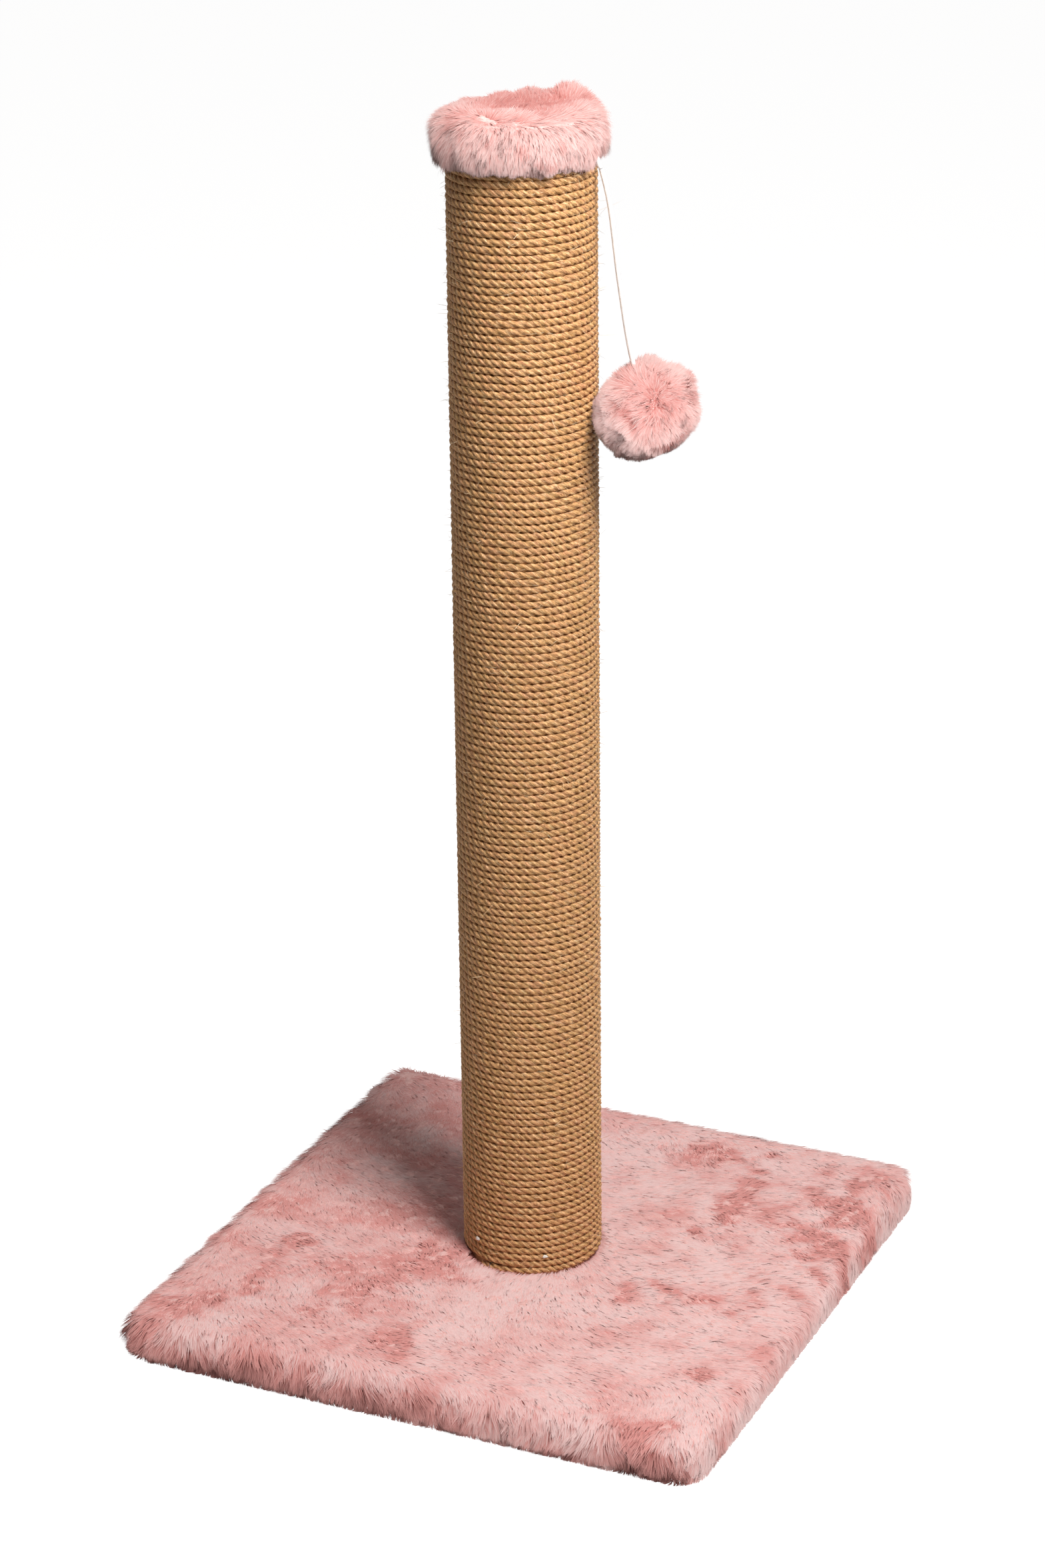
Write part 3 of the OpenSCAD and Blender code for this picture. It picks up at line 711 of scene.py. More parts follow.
def growFur(name, roots, normals, look, material, body, seed, tuft, keepOut=None):
    # A strand climbs from its root nearer the normal at first and nearer its lay after. look holds, for each
    # strand, its lay, its mean angle over the surface (rise), how far its two parts differ from that angle
    # (bend), length, width, tone and how strongly it joins its tuft (pull). Each strand is a kite of two
    # triangles: root, two corners at its bend, tip. Its shading normal lies between the skin's, its own (own)
    # and the way to the light (soak), because light spreads from strand to strand in a real pile. For the
    # same reason only a share of the strands (block) throws shadows: the others are too fine, and light goes
    # through them. keepOut moves points out of what the pile lies against.
    s = strandShape
    draw = np.random.default_rng(seed)
    count = len(roots)
    lay, rise, bend = look["lay"], look["rise"][:, None], look["bend"][:, None]
    stray = draw.normal(size=(count, 3))
    stray -= s["flatStray"] * normals * (stray * normals).sum(1)[:, None]
    first = unit(normals * np.sin(rise + bend) + lay * np.cos(rise + bend) + s["stray"][0] * stray)
    second = unit(normals * np.sin(rise - bend) + lay * np.cos(rise - bend) + s["stray"][1] * stray)
    middle = roots + first * (s["parts"][0] * look["length"])[:, None]
    tip = middle + second * (s["parts"][1] * look["length"])[:, None]
    for size, share in tuft:
        pull = (share * look["pull"])[:, None]
        meanMiddle, meanTip = tufts(roots, [middle, tip], size, seed + 100)
        middle = middle + s["tuftBend"] * pull * (meanMiddle - middle)
        tip = tip + pull * (meanTip - tip)
    if keepOut:
        middle, tip = keepOut(middle), keepOut(tip)
    ahead = unit(tip - roots)
    side = unit(np.cross(ahead, normals))
    facing = np.cross(side, ahead)
    roll = draw.normal(0, s["roll"], count)[:, None]
    side = side * np.cos(roll) + facing * np.sin(roll)
    w = look["width"][:, None] / 2
    points = np.stack([roots, middle - side * w, middle + side * w, tip], 1)
    shading = unit(s["skinShade"] * normals + look["own"] * facing + look["soak"])
    blocks = draw.uniform(size=count) < look["block"]
    made = []
    for ending, own in (("", blocks), ("Fine", ~blocks)):
        number = int(own.sum())
        base = np.arange(number)[:, None] * 4
        piece = makePiece(name + ending, points[own].reshape(-1, 3), [base + (0, 2, 1), base + (1, 2, 3)],
                          material, body,
                          {"tip": np.tile([0.0, 0.5, 0.5, 1.0], number),
                           "tone": np.repeat(look["tone"][own], 4)},
                          normals=np.repeat(shading[own], 4, axis=0))
        piece.visible_shadow = ending == ""
        made.append(piece)
    return made


def clearOfRope(p, gap=0.0003):
    # points in the winding are moved straight out from the post's axis until they are a gap outside it
    reach = np.linalg.norm(p[:, :2], axis=1)
    scale = np.where(reach < ropeOuter + gap, (ropeOuter + gap) / reach, 1.0)
    return np.column_stack([p[:, :2] * scale[:, None], p[:, 2]])


# Base cover: plush drawn over the board, down its sides and under its edge

baseCover = {
    "backing": 0.0015,
    "cornerRadius": 0.0135,
    "edgeRadius": 0.007,
    "hemWidth": 0.040,
    "hemRadius": 0.004,       # of the bend under the board's lower edge
    "floorGap": 0.0004,       # of the hem over the floor
    "undercoat": 0.0074,      # height of the dense short fibres
    "rootHeight": 0.0060,     # of the long fibres' visible part, in the undercoat
    "ridgeLength": 0.017,     # between the rows in which the pile rises and falls
    "holeRadius": 0.0055,     # round the bolt
    "inmost": 0.012,          # half the side of the inmost ring, before it is made round
    "squareFrom": 0.06,       # half side from which the rings are square
    "columns": 400,           # points on the way round
    "flatSide": 0.63,
    "strands": 330000,
    "rimShare": 0.3,          # of the strands
    "strandLength": 0.0165,
    "lengths": (0.7, 1.1),    # shortest and longest, against that length
    "strandWidth": 0.00088,
    "layAngle": -38,          # degrees from +X, the way in which most of the pile lies
    "rise": 0.17,             # radians from the skin where the pile lies flat
    "tuft": [(0.0026, 0.6), (0.009, 0.25)],       # widths of the tufts and how strongly strands join them
    "seed": 31,
    # places where the pile parts: x, y, half length, half width, direction of the length in degrees
    "parted": [(0.136, 0.121, 0.055, 0.014, 96), (0.225, 0.130, 0.075, 0.030, 100),
               (0.075, 0.213, 0.040, 0.018, 5), (0.147, -0.044, 0.022, 0.012, 20),
               (0.204, -0.021, 0.026, 0.009, 95), (0.115, -0.049, 0.024, 0.012, 15),
               (-0.213, -0.204, 0.030, 0.014, 60), (-0.196, -0.086, 0.020, 0.009, 20),
               (-0.109, -0.151, 0.028, 0.016, 75), (-0.045, -0.193, 0.024, 0.010, 100),
               (-0.066, -0.065, 0.045, 0.022, 60), (0.214, -0.150, 0.009, 0.007, 0),
               (0.225, -0.235, 0.030, 0.014, 10)],
}
coverHalf = boardHigh.x + baseCover["backing"]
coverTop = boardHigh.z + baseCover["backing"]


def roundedSquare(t, half, radius):
    # point and outward normal at a share t of the way round a square with round corners, from the middle of
    # +X: the way is cut into four sides and arcs, and each quarter is turned to its place
    flat = half - radius
    side, arc = 2 * flat, radius * np.pi / 2
    s = (t % 1) * 4 * (side + arc) + side / 2
    quarter = np.floor(s / (side + arc)).astype(int)
    within = s - quarter * (side + arc)
    bend = np.clip((within - side) / max(arc, 1e-9), 0, 1) * np.pi / 2
    x = flat + radius * np.cos(bend)
    y = np.minimum(within, side) - flat + radius * np.sin(bend)
    c, n = np.cos(quarter * np.pi / 2), np.sin(quarter * np.pi / 2)
    nx, ny = np.cos(bend), np.sin(bend)
    return np.stack([c * x - n * y, n * x + c * y], 1), np.stack([c * nx - n * ny, n * nx + c * ny], 1)


def napOf(x, y, raggedness):
    # how disturbed the pile is, 0 to 1: soft ovals round the parted places, broken up by noise, and a
    # little noise of its own elsewhere
    flat = np.stack([x, y, 0 * x], 1)
    ragged = raggedness * (0.7 * waves(flat, 0.030, 5) + 0.3 * waves(flat, 0.011, 6))
    rough = 0.30 * waves(flat, 0.07, 8) + 0.25 * ragged - 0.75
    for cx, cy, long, wide, angle in baseCover["parted"]:
        u, v = turned(x - cx, y - cy, -angle)
        rough = np.maximum(rough, 1.2 - 0.6 * np.hypot(u / long, v / wide) + 0.45 * ragged)
    return ramp(rough, 0.0, 1.5)


def makeBaseCover():
    # the section is a closed loop: out over the top from the bolt hole, over the edge, down, under as a
    # hem and back inside; it is carried round a square with round corners
    b = baseCover
    columns, thin, inmost, hem = b["columns"], b["backing"], b["inmost"], b["hemRadius"]
    h, e, r = coverHalf, b["edgeRadius"], b["cornerRadius"]
    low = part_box("base_plush")[0].z + b["floorGap"]
    t = np.arange(columns) / columns
    arc = np.linspace(0, np.pi / 2, 7)
    # each ring's distance in from the edge, its height and its share of the undercoat
    outer = ([(d, coverTop, 1.0) for d in np.linspace(h - inmost, e, 84)]
             + [(e - e * math.sin(a), coverTop - e + e * math.cos(a), 1.0) for a in arc[1:]]
             + [(0, z, 1.0) for z in np.linspace(coverTop - e, low + hem, 9)[1:]]
             + [(0.003 * (1 - math.cos(a)), low + hem - hem * math.sin(a), 0.4) for a in arc[1:]]
             + [(d, low, 0.0) for d in np.linspace(0.006, b["hemWidth"], 6)])
    inner = ([(d, low + thin, 0.0) for d in np.linspace(b["hemWidth"], thin + 0.0005, 4)]
             + [(thin, z, 0.0) for z in np.linspace(low + hem, coverTop - hem, 5)]
             + [(d, coverTop - thin, 0.0) for d in np.linspace(thin + 0.001, h - inmost, 40)])
    rings, outward, heights = [], [], []
    for d, z, puff in outer + inner:
        flat, normal = roundedSquare(t, h - d, max(r - d, 0.0008))
        # the inmost rings are drawn in from the square to the round bolt hole
        blend = ramp(np.full(columns, h - d), inmost, b["squareFrom"])[:, None]
        flat = flat * blend + (1 - blend) * unit(flat) * (b["holeRadius"] + 0.3 * (h - d - inmost))
        rings.append(np.column_stack([flat, np.full(columns, z)]))
        outward.append(np.column_stack([normal, np.zeros(columns)]))
        heights.append(np.full(columns, puff))
    points, normal, puff = np.concatenate(rings), np.concatenate(outward), np.concatenate(heights)
    onTop = (points[:, 2] > coverTop - e)[:, None]
    tilt = np.clip((points[:, 2:3] - (coverTop - e)) / e, 0, 1)
    normal = unit(normal * np.sqrt(1 - tilt ** 2 * onTop) + (0, 0, 1) * tilt * onTop)
    fromPost = np.linalg.norm(points[:, :2], axis=1)
    puff = puff * ramp(fromPost, ropeOuter + 0.001, ropeOuter + 0.008)
    lift = b["undercoat"] * (1 + 0.07 * waves(points, 0.014, 11) + 0.05 * waves(points, 0.006, 12)) * puff
    points = points + normal * lift[:, None]
    quads = gridFaces(len(rings), columns, wrapRows=True)[0]
    piece = makePiece("baseCoverUndercoat", points, [quads[:, ::-1]], undercoat, "post")
    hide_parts("base_plush")
    return piece


cover = makeBaseCover()


def baseRoots(count, seed):
    # top and rim by their share of the area; the rim bends round the edge and goes down the side
    draw = np.random.default_rng(seed)
    e, r = baseCover["edgeRadius"], baseCover["cornerRadius"]
    flat = coverHalf - e
    rimCount = int(count * baseCover["rimShare"])
    topCount = count - rimCount
    # 15% more are drawn, because some fall on the post or outside a round corner
    xy = draw.uniform(-flat, flat, (int(topCount * 1.15), 2))
    corner = np.linalg.norm(np.maximum(np.abs(xy) - (flat - (r - e)), 0), axis=1) < r - e
    xy = xy[corner & (np.linalg.norm(xy, axis=1) > ropeOuter - 0.001)][:topCount]
    top = np.column_stack([xy, np.full(len(xy), coverTop)])
    topNormal = np.tile([0.0, 0.0, 1.0], (len(xy), 1))
    t = draw.uniform(0, 1, rimCount)
    down = coverTop - e - (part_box("base_plush")[0].z + 0.002)
    arc = e * np.pi / 2
    s = draw.uniform(0, down + arc, rimCount)
    bend = np.clip(s / arc, 0, 1) * np.pi / 2
    ground, outward = roundedSquare(t, coverHalf, r)
    ground = ground - outward * (e * (1 - np.sin(bend)))[:, None]
    z = coverTop - e + e * np.cos(bend) - np.maximum(s - arc, 0)
    rim = np.column_stack([ground, z])
    rimNormal = np.column_stack([outward * np.sin(bend)[:, None], np.cos(bend)])
    return np.concatenate([top, rim]), np.concatenate([topNormal, rimNormal])


def clearOfPostAndFloor(p):
    # out of the winding and above the floor
    p = clearOfRope(p, 0.0002)
    return np.column_stack([p[:, :2], np.maximum(p[:, 2], 0.0008)])


def makeBasePile():
    # every number of a strand is a plain value plus soft noise, what the parted places add and what the rim
    # needs; the four quarters are pieces of their own, so that none has too many triangles
    b = baseCover
    draw = np.random.default_rng(b["seed"])
    skin, normals = baseRoots(b["strands"], b["seed"] + 1)
    roots = skin + normals * b["rootHeight"]
    count = len(roots)
    toRight, toLeft = ramp(normals[:, 0], 0.2, 0.9), ramp(-normals[:, 0], 0.2, 0.9)
    toBack, toFront = ramp(normals[:, 1], 0.2, 0.9), ramp(-normals[:, 1], 0.3, 0.9)
    nap = napOf(roots[:, 0], roots[:, 1], 1)
    turning = 0.06 + 0.55 * napOf(roots[:, 0], roots[:, 1], 0.25)
    swing = np.radians(b["layAngle"]) + 0.45 * waves(roots, 0.2, 14) + turning * waves(roots, 0.04, 15)
    # rows across the lay, like small waves, where the pile is disturbed
    along = turned(roots[:, 0], roots[:, 1], -b["layAngle"])[0]
    ridge = np.sin(2 * np.pi * along / b["ridgeLength"] + 2.4 * waves(roots, 0.05, 13))
    ridgeHeight = 0.02 + 0.06 * nap + 0.03 * ramp(waves(roots, 0.09, 18), 0.2, 1.4)
    lay = np.column_stack([np.cos(swing), np.sin(swing), 0 * swing])
    # near the edges the pile is brushed outwards, and on the sides it stands out and droops
    hang = 1 - normals[:, 2]
    edge = np.clip(roots[:, :2] / coverHalf, -1, 1) ** 15
    outward = np.column_stack([np.minimum(edge[:, 0], 0.35), edge[:, 1], 0 * nap])
    lay = lay * (1 - 0.5 * hang)[:, None] + 1.2 * outward + hang[:, None] * np.array([0, 0, -1.0])
    sideways = np.column_stack([-normals[:, 1], normals[:, 0], 0 * nap])
    across = 0.45 * waves(roots, 0.03, 21) + 0.5 * waves(roots, 0.010, 22)
    lay += (across * (1 - 0.5 * toRight))[:, None] * sideways
    lay = inSkin(lay, normals)
    # the lay runs off the right side and stands up against the left and the back
    against = toLeft + toBack - 0.9 * toRight
    nearFloor = hang * ramp(-roots[:, 2], -0.026, -0.008)
    rise = (b["rise"] + 0.05 * nap + ridgeHeight * ridge + 0.42 * hang + 0.14 * against + 0.15 * nearFloor
            - 0.18 * toRight)
    # the front left side is turned from the light: its lower pile gets a painted mauve shade, in patches
    paintedShade = toFront * ramp(-roots[:, 2], -0.032, -0.018)
    shadePatches = waves(roots, 0.035, 19) + 0.6 * waves(roots, 0.007, 20) + 0.3
    paintedShade = paintedShade * (0.45 + 0.55 * ramp(shadePatches, -0.9, 1.1))
    look = {
        "lay": lay,
        "rise": np.clip(rise, 0.06, 1.1),
        "length": b["strandLength"] * draw.uniform(*b["lengths"], count) * (1 - 0.12 * nap)
        * (1 + 0.38 * hang - 0.65 * nearFloor) * (1 - 0.15 * toRight),
        "width": b["strandWidth"] * draw.uniform(*strandShape["widths"], count),
        "bend": 0.04 + 0.08 * hang,
        # tone: painted shade deepens the left half, farther from the key lamp on the right, and the front
        # side, which is turned from it
        "tone": np.clip(0.03 + 0.66 * nap + ridgeHeight * (1 - ridge) * (1 - hang)
                        + 0.08 * draw.normal(size=count) + 0.12 * ramp(waves(roots, 0.05, 23), 0.1, 1.3)
                        + 0.08 * waves(roots, 0.08, 17) + 0.06 * waves(roots, 0.025, 9)
                        + 0.20 * ramp(-roots[:, 0], -0.02, 0.10) + 0.15 * toFront, 0, 0.5) + 0.42 * paintedShade,
        "pull": np.maximum(0.3 * nap, 0.7 * hang),
        "own": 0.2 + 0.15 * hang[:, None],
        "soak": (0.15 + 0.45 * hang + 0.4 * toRight)[:, None] * keyDirection,
        "block": 0.07 + 0.16 * nap + 0.08 * hang * (1 - toRight),
    }
    quarter = (roots[:, 0] > 0) * 2 + (roots[:, 1] > 0)
    made = []
    for k, place in enumerate(("FrontLeft", "BackLeft", "FrontRight", "BackRight")):
        own = quarter == k
        made.extend(growFur("basePile" + place, roots[own], normals[own],
                            {key: v[own] for key, v in look.items()}, pileOfBase, "post", b["seed"] + 10 + k,
                            b["tuft"], clearOfPostAndFloor))
    return made


basePile = makeBasePile()
print("base covered")


# Cap: plush drawn over the post's end, rolled rim, dished middle

capPlan = {
    "flat": 0.210,            # diameter of the round cut
    "innerGap": 0.0004,
    # outline of the undercoat, out from the axis and up from the hem
    "outline": [(0.0, 0.0376), (0.018, 0.0377), (0.032, 0.0380), (0.042, 0.0384), (0.0495, 0.0378),
                (0.0555, 0.0350), (0.0600, 0.0300), (0.0630, 0.0240), (0.0643, 0.0170), (0.0643, 0.0105),
                (0.0632, 0.0045), (0.0613, 0.0015)],
    # direction from +X in degrees, width in radians, and height in metres or share of the radius
    "lump": (62, 0.42, 0.0065),
    "trough": (145, 0.8, 0.0030),
    "drawnIn": (25, 0.8, 0.045),
    "rows": 60,
    "columns": 150,
    "strands": 92000,
    "brushed": 112,           # degrees from +X, the way in which the pile of the top lies
    "strandLength": 0.0175,
    "lengths": (0.7, 1.15),
    "strandWidth": 0.00080,
    "rise": 0.28,             # radians from the skin
    "tuft": [(0.0024, 0.7)],
    "seed": 61,
}


def bell(a, degrees, width):
    # 1 in a direction round the axis, and less to both sides by the square of the angle over its width
    return np.exp(-(np.angle(np.exp(1j * (a - math.radians(degrees)))) / width) ** 2)


def capSurface(a, s):
    # outline turned round the axis; s goes from the middle of the top to the hem. A lump rises at the back
    # right, the rim waves a little and the right side is drawn in below
    line = smoothCurve(capPlan["outline"], 200)
    place = np.linspace(0, 1, 200)
    r = np.interp(s, place, line[:, 0])
    z = np.interp(s, place, line[:, 1])
    onRim = np.exp(-((s - 0.5) / 0.16) ** 2)
    lump, trough, drawnIn = (bell(a, *capPlan[key][:2]) * capPlan[key][2]
                             for key in ("lump", "trough", "drawnIn"))
    z = z + onRim * (lump - trough + 0.0008 * np.sin(3 * a + 1))
    r = r * (1 + 0.010 * np.sin(2 * a + 0.6) + 0.008 * np.sin(5 * a))
    r = r * (1 - drawnIn * ramp(s, 0.5, 0.8))
    r = np.where(s > 0.9, np.maximum(r, ropeOuter + 0.0008), r)
    return polar(r, a, hemZ + z)


def capNormals(a, s):
    # across product of the surface's two small steps
    d = 1e-4
    alongA = capSurface(a + d, s) - capSurface(a - d, s)
    alongS = capSurface(a, np.minimum(s + d, 1)) - capSurface(a, np.maximum(s - d, 0))
    return unit(np.cross(alongS, alongA))


def makeCapCover():
    # the outside is the cap's surface with a little noise, and the inside goes up along the rope and in over
    # the pad
    p = capPlan
    a = evenAngles(p["columns"])
    aGrid, sGrid = (v.ravel() for v in np.meshgrid(a, np.linspace(0.02, 1, p["rows"])))
    outer = capSurface(aGrid, sGrid)
    uneven = 0.0006 * waves(outer, 0.012, 62) + 0.0004 * waves(outer, 0.005, 63)
    outer += capNormals(aGrid, sGrid) * uneven[:, None]
    wall, ceiling = ropeOuter + p["innerGap"], padTop + 0.0003
    inside = ([(wall, hemZ + up) for up in (0.0012, 0.012, 0.024)]
              + [(share * wall, ceiling) for share in (1, 0.75, 0.4, 0.03)])
    inner = np.concatenate([polar(r, a, z) for r, z in inside])
    top = capSurface(np.zeros(1), np.zeros(1))
    points = np.concatenate([outer, inner, top, [[0, 0, ceiling]]])
    faces = closedRings(p["rows"] + len(inside), p["columns"], fromTop=True)
    piece = makePiece("capCoverUndercoat", points, faces, undercoat, "post")
    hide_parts("cap_plush")
    return piece


def makeCapPile(piece):
    # on top the pile is brushed to the back, on the side it hangs, and at the hem it gets short
    p = capPlan
    draw = np.random.default_rng(p["seed"])
    n = p["strands"]
    # three times as many are drawn as are kept
    a = draw.uniform(0, 2 * np.pi, n * 3)
    s = draw.uniform(0.03, 0.985, n * 3)
    # keeps roots evenly dense: the chance follows the radius
    radius = np.interp(s, np.linspace(0, 1, 200), smoothCurve(p["outline"], 200)[:, 0])
    keep = draw.uniform(0, 0.068, n * 3) < radius
    a, s = a[keep][:n], s[keep][:n]
    count = len(a)
    surface, normals = capSurface(a, s), capNormals(a, s)
    roots = surface - normals * 0.0012
    side = ramp(s, 0.42, 0.62)
    onTop, onSide = (1 - side)[:, None], side[:, None]
    brushed = math.radians(p["brushed"])
    back = np.array([math.cos(brushed), math.sin(brushed), 0])
    lay = ((0.7 * back + 0.15 * polar(1, a, 0)) * onTop + np.array([0, 0, -1.0]) * onSide
           + 0.18 * drift(roots, 0.03, 70) * (1.1 - onSide))
    lay = inSkin(lay + 0.07 * drift(roots, 0.02, 80), normals)
    hem = ramp(s, 0.8, 0.97)
    part = ramp(0.8 * waves(roots, 0.016, 88) + 0.5 * waves(roots, 0.03, 89), 0.5, 2.2)
    look = {
        "lay": lay,
        "rise": p["rise"] + 0.04 * side + 0.03 * waves(roots, 0.018, 84) - 0.1 * hem,
        "bend": 0.04 + 0.08 * side,
        "length": p["strandLength"] * draw.uniform(*p["lengths"], count) * (1 - 0.62 * hem)
        * (1 + 0.12 * waves(roots, 0.02, 86) + 0.14 * hem * waves(roots, 0.006, 87)),
        "width": p["strandWidth"] * draw.uniform(*strandShape["widths"], count),
        # tone: painted shade deepens the dished middle of the top
        "tone": np.clip(0.08 + 0.2 * part + 0.18 * (1 - side) + 0.22 * ramp(-s, -0.5, -0.2)
                        + 0.10 * draw.normal(size=count), 0, 0.9),
        "pull": 0.10 + 0.35 * side + 0.3 * hem,
        "own": np.full((count, 1), 0.3),
        "soak": np.full((count, 1), 0.12) * keyDirection,
        "block": 0.09 + 0.06 * side,
    }
    fur = growFur("capPile", roots, normals, look, pileOfCap, "post", p["seed"] + 5, p["tuft"])


makeCapPile(makeCapCover())
print("cap covered")


# Ball: plush sewn round a filling, hung on the knot

ballPlan = {
    "undercoatRadius": 0.0325,
    "polarShare": 0.93,       # of the height along the cord, against the width
    "dimple": 0.10,           # where the cord enters
    "fillingRadius": 0.0275,
    "strands": 74000,
    "strandLength": 0.0185,
    "lengths": (0.72, 1.12),
    "strandWidth": 0.00082,
    "rise": 0.48,             # radians from the skin
    "tuft": [(0.0024, 0.7), (0.008, 0.2)],
    # right and up from the middle in the photograph, relative to the radius
    "whorl": (0.19, 0.31),
    "creases": [[(-0.54, 0.32), (-0.45, 0.09), (-0.47, -0.06)],
                [(-0.24, 0.17), (-0.14, -0.04), (-0.07, -0.20)]],
    "seed": 91,
}


def makeBallCover():
    # a ball with lumps, a little flat along its cord and drawn in where the cord enters
    p = ballPlan
    points, faces = ballGrid(48, 96)
    size = 1 + 0.03 * waves(points, 0.9, 92) + 0.02 * waves(points, 0.35, 93)
    size -= p["dimple"] * ramp(points[:, 2], 0.9, 1.0)
    skin = points * size[:, None] * p["undercoatRadius"] * (1, 1, p["polarShare"])
    ball = makePiece("pompomUndercoat", turnedToBall(skin), faces, undercoat, "pompom")
    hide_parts("pompom_plush")


def makeBallPile():
    # the pile lies away from the whorl and hangs a little, in locks, and stands up at the whorl itself
    p = ballPlan
    draw = np.random.default_rng(p["seed"])
    across = unit(draw.normal(size=(p["strands"], 3)))
    across = across[np.abs(across[:, 2]) < 0.995]
    n = len(across)
    roots = turnedToBall(across * (0.94 * p["undercoatRadius"]) * (1, 1, p["polarShare"]))
    normals = unit(roots - ballCentre)
    right, up = p["whorl"]
    whorl = viewRight * right + viewUp * up + viewBack * math.sqrt(1 - right ** 2 - up ** 2)
    toWhorl = normals @ whorl
    away = unit(toWhorl[:, None] * normals - whorl)
    lay = (away + np.array([0, 0, -0.35]) + 0.5 * drift(roots, 0.022, 94) + 0.45 * drift(roots, 0.007, 104)
           + 0.25 * np.cross(normals, whorl))
    near = ramp(toWhorl, 0.75, 1.0)
    lay = inSkin(lay + (0.3 + 1.2 * near)[:, None] * 0.35 * draw.normal(size=(n, 3)), normals)
    toRight = normals @ viewRight
    part = ramp(0.8 * waves(roots, 0.014, 101) + 0.5 * waves(roots, 0.028, 102), 0.4, 2.0)
    # the ball is pressed nearly flat at the lower right and puffed up at the top
    lowRight = ramp(normals @ unit(viewRight - 1.1 * viewUp), 0.45, 0.95)
    high = ramp(normals @ unit(0.35 * viewRight + viewUp), 0.6, 0.95)
    lowLeft = ramp(normals @ unit(-0.9 * viewRight - viewUp), 0.15, 0.8)
    # distance from the creases as the camera sees them, relative to the radius
    seen = np.stack([toRight, normals @ viewUp], 1)
    crease = np.full(n, 9.0)
    for line in p["creases"]:
        for a, b in zip(np.array(line[:-1]), np.array(line[1:])):
            share = np.clip((seen - a) @ (b - a) / ((b - a) @ (b - a)), 0, 1)[:, None]
            crease = np.minimum(crease, np.linalg.norm(seen - a - share * (b - a), axis=1))
    crease = ramp(-crease, -0.13, 0.0) * (normals @ viewBack > 0)
    rightSide = ramp(toRight, 0.2, 0.9)
    look = {
        "lay": lay,
        "rise": p["rise"] + 0.25 * near + 0.05 * waves(roots, 0.012, 98) + 0.3 * ramp(toRight, 0.3, 0.9)
        - 0.3 * crease - 0.22 * lowRight + 0.3 * high + 0.55 * lowLeft,
        "bend": np.full(n, 0.12),
        "length": p["strandLength"] * draw.uniform(*p["lengths"], n) * (1 + 0.08 * waves(roots, 0.02, 99))
        * (1 - 0.15 * near) * (1 + 0.12 * rightSide) * (1 - 0.35 * lowRight) * (1 + 0.15 * high)
        * (1 - 0.35 * lowLeft),
        "width": p["strandWidth"] * draw.uniform(*strandShape["widths"], n),
        # tone: painted shade deepens the creases beyond the deep colour where the pile parts there, and
        # painted light makes the shaded lower left paler
        "tone": np.clip(0.10 + 0.3 * part + 0.2 * near + 0.4 * crease - 0.1 * lowLeft
                        + 0.10 * draw.normal(size=n), 0, 0.9),
        "pull": np.full(n, 0.45),
        "own": np.full((n, 1), 0.6),
        # the ball spins, so its way to the light is only up
        "soak": np.full((n, 1), 0.8) * (0, 0, 1),
        "block": 0.07 - 0.04 * lowLeft,
    }
    growFur("pompomPile", roots, normals, look, pileOfCap, "pompom", p["seed"] + 5, p["tuft"], clearOfRope)


makeBallCover()
makeBallPile()
print("ball covered")


# Underside cloth, pad and filling

clothPlan = {"cornerRadius": 0.012, "holeRadius": 0.022, "columns": 200, "rows": 36, "unevenness": 0.00022}


def makeCloth():
    # rings run from the square edge to the round opening under the bolt, above and then below
    low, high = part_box("underside_cloth")
    columns, rows = clothPlan["columns"], clothPlan["rows"]
    edge = roundedSquare(np.arange(columns) / columns, high.x, clothPlan["cornerRadius"])[0]
    hole = unit(edge) * clothPlan["holeRadius"]
    inwards = np.linspace(0, 1, rows)[:, None, None]
    flat = (edge * (1 - inwards) + hole * inwards).reshape(-1, 2)
    wave = np.maximum(waves(np.column_stack([flat, 0 * flat[:, 0]]), 0.05, 110), 0) * clothPlan["unevenness"]
    upper = np.column_stack([flat, np.full(len(flat), high.z)])
    lower = np.column_stack([flat, low.z + wave])[::-1].reshape(rows, columns, 3)[:, ::-1].reshape(-1, 3)
    quads = gridFaces(2 * rows, columns, wrapRows=True)[0]
    piece = makePiece("undersideCloth", np.concatenate([upper, lower]), [quads], feltCloth,
                      "post", smooth=False)
    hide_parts("underside_cloth")


makeCloth()

padPlan = {"rows": 10, "columns": 90, "gap": 0.0002, "sideGap": 0.0008, "unevenness": 0.0004}


def makePad():
    # a thick disc: its section goes out over the top and back under, and its faces are uneven
    p = padPlan
    low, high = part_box("cap_pad")
    radius, middle = high.x - p["sideGap"], (low.z + high.z) / 2
    section = [(s * radius, high.z - p["gap"]) for s in np.linspace(0.05, 0.97, p["rows"])]
    section += [(radius, middle)]
    section += [(s * radius, low.z + p["gap"]) for s in np.linspace(0.97, 0.05, p["rows"])]
    a = evenAngles(p["columns"])
    points = np.concatenate([polar(r, a, z) for r, z in section])
    dents = p["unevenness"] * np.maximum(waves(points, 0.012, 120), 0)
    points[:, 2] -= dents * np.sign(points[:, 2] - middle)
    points = np.concatenate([points, [[0, 0, high.z - p["gap"]], [0, 0, low.z + p["gap"]]]])
    faces = closedRings(len(section), p["columns"], fromTop=True)
    pad = makePiece("capPadWadding", points, faces, wadding, "post")
    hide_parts("cap_pad")


def makeFilling():
    # a ball of loose fibre with lumps
    ball, faces = ballGrid(24, 48)
    size = (1 + 0.04 * waves(ball, 0.6, 121)) * ballPlan["fillingRadius"]
    filling = makePiece("pompomFillingFibre", turnedToBall(ball * size[:, None]), faces, wadding, "pompom")
    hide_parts("pompom_filling")


makePad()
makeFilling()
print("soft inner pieces made")


# Rigid pieces keep their own meshes and take their finishes

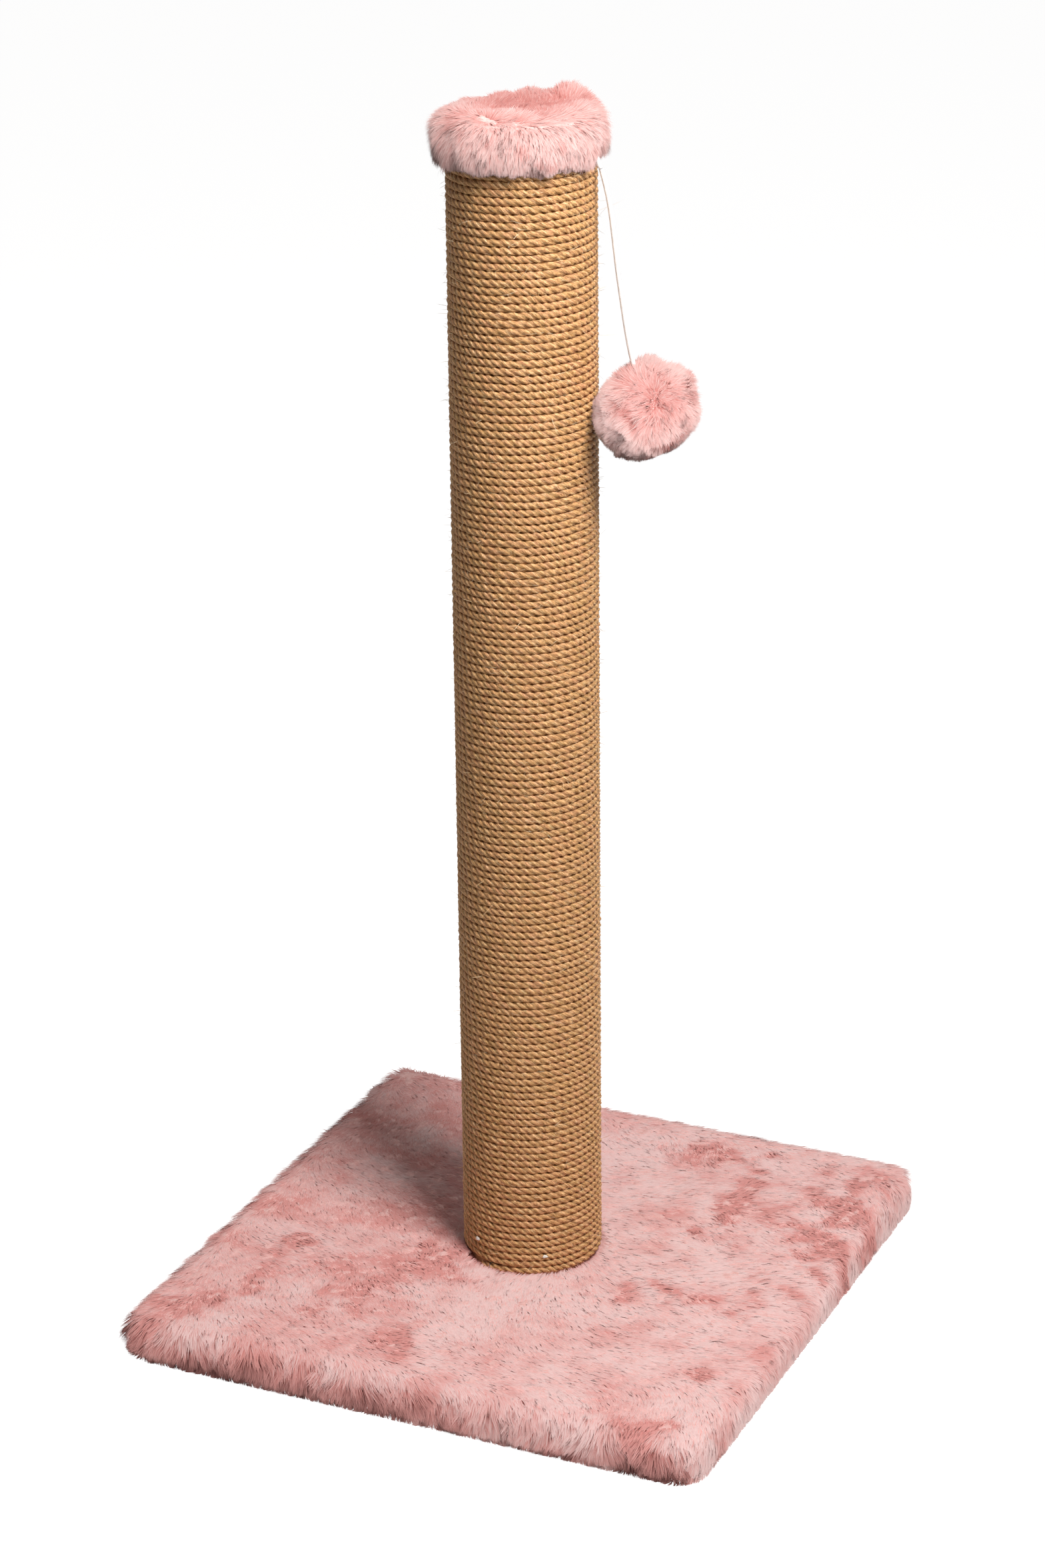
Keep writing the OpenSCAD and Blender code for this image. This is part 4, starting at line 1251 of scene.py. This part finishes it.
finishes = {
    "base_board": chipboard, "bottom_plug": pineWood, "top_plug": pineWood, "post_tube": cardboard,
    "base_bolt": zincSteel, "base_washer": zincSteel, "tee_nut": zincSteel,
    "bottom_plug_nails": steelWire, "top_plug_nails": steelWire, "underside_staples": steelWire,
    "rope_staples": steelWire, "cap_staples": steelWire, "cord_staple": steelWire,
}
for node, finish in finishes.items():
    for holder in nodes[node].material_slots:
        holder.material = finish
print("rigid pieces finished")


# Floor and light

studio = {
    "floorSide": 14.0,
    "floorColour": "#CFCECC",
    "floorGlow": 1.56,        # of the white that the camera sees in the floor
    "floorGlowShare": 0.6,
    "worldColour": "#FFF8F6",
    "worldStrength": 0.14,
    # watts, side in metres, degrees, and distance from a point at a height on the post's axis
    "key": {"power": 64, "size": 0.66, "azimuth": 58, "elevation": 54, "distance": 2.05, "height": 0.6},
    "top": {"power": 22, "size": 1.8, "azimuth": 0, "elevation": 89, "distance": 3.0, "height": 0.2},
}


def seenDirectly(tree):
    # 1 for rays from the camera or off a glossy surface, which see the pale studio as white
    rays = add(tree, "LightPath")
    seen = add(tree, "Math", {0: rays.outputs["Is Camera Ray"], 1: rays.outputs["Is Glossy Ray"]},
               operation="MAXIMUM")
    return seen.outputs[0]


def floorMaterial():
    # matt pale paper; seen directly it is mostly its own white, and keeps a share of the light that falls
    # on it
    made = bpy.data.materials.new("palePaperFloor")
    tree = emptyTree(made)
    matt = add(tree, "BsdfDiffuse", {"Color": linear(studio["floorColour"])})
    white = add(tree, "Emission", {"Color": (1, 1, 1, 1), "Strength": studio["floorGlow"]})
    share = add(tree, "Math", {0: seenDirectly(tree), 1: studio["floorGlowShare"]}, operation="MULTIPLY")
    mixed = add(tree, "MixShader", {0: share.outputs[0], 1: matt.outputs[0], 2: white.outputs[0]})
    add(tree, "OutputMaterial", {"Surface": mixed.outputs[0]})
    return made


def makeStudio():
    # a level floor, two square lamps that look at the post from round it, and a pale world
    half = studio["floorSide"] / 2
    corners = [(-half, -half, 0), (half, -half, 0), (half, half, 0), (-half, half, 0)]
    mesh = bpy.data.meshes.new("floor")
    mesh.from_pydata(corners, [], [(0, 1, 2, 3)])
    floor = bpy.data.objects.new("floor", mesh)
    scene.collection.objects.link(floor)
    mesh.materials.append(floorMaterial())
    for name in ("key", "top"):
        lamp = studio[name]
        data = bpy.data.lights.new(name, "AREA")
        data.energy = lamp["power"]
        data.size = lamp["size"]
        back = wayTo(lamp["azimuth"], lamp["elevation"])
        right = unit(np.cross((0, 0, 1), back))
        place = back * lamp["distance"] + (0, 0, lamp["height"])
        stand(name, data, right, np.cross(back, right), back, place)
    world = bpy.data.worlds.new("studioLight")
    scene.world = world
    tree = emptyTree(world)
    seen = seenDirectly(tree)
    strength = add(tree, "MapRange", {"Value": seen, "To Min": studio["worldStrength"], "To Max": 1.0})
    colour = add(tree, "Mix", {0: seen, 6: linear(studio["worldColour"]), 7: (1, 1, 1, 1)}, data_type="RGBA")
    sky = add(tree, "Background", {"Color": colour.outputs[2], "Strength": strength.outputs[0]})
    add(tree, "OutputWorld", {"Surface": sky.outputs[0]})
    scene.view_settings.view_transform = "Standard"


makeStudio()
print("studio lit")
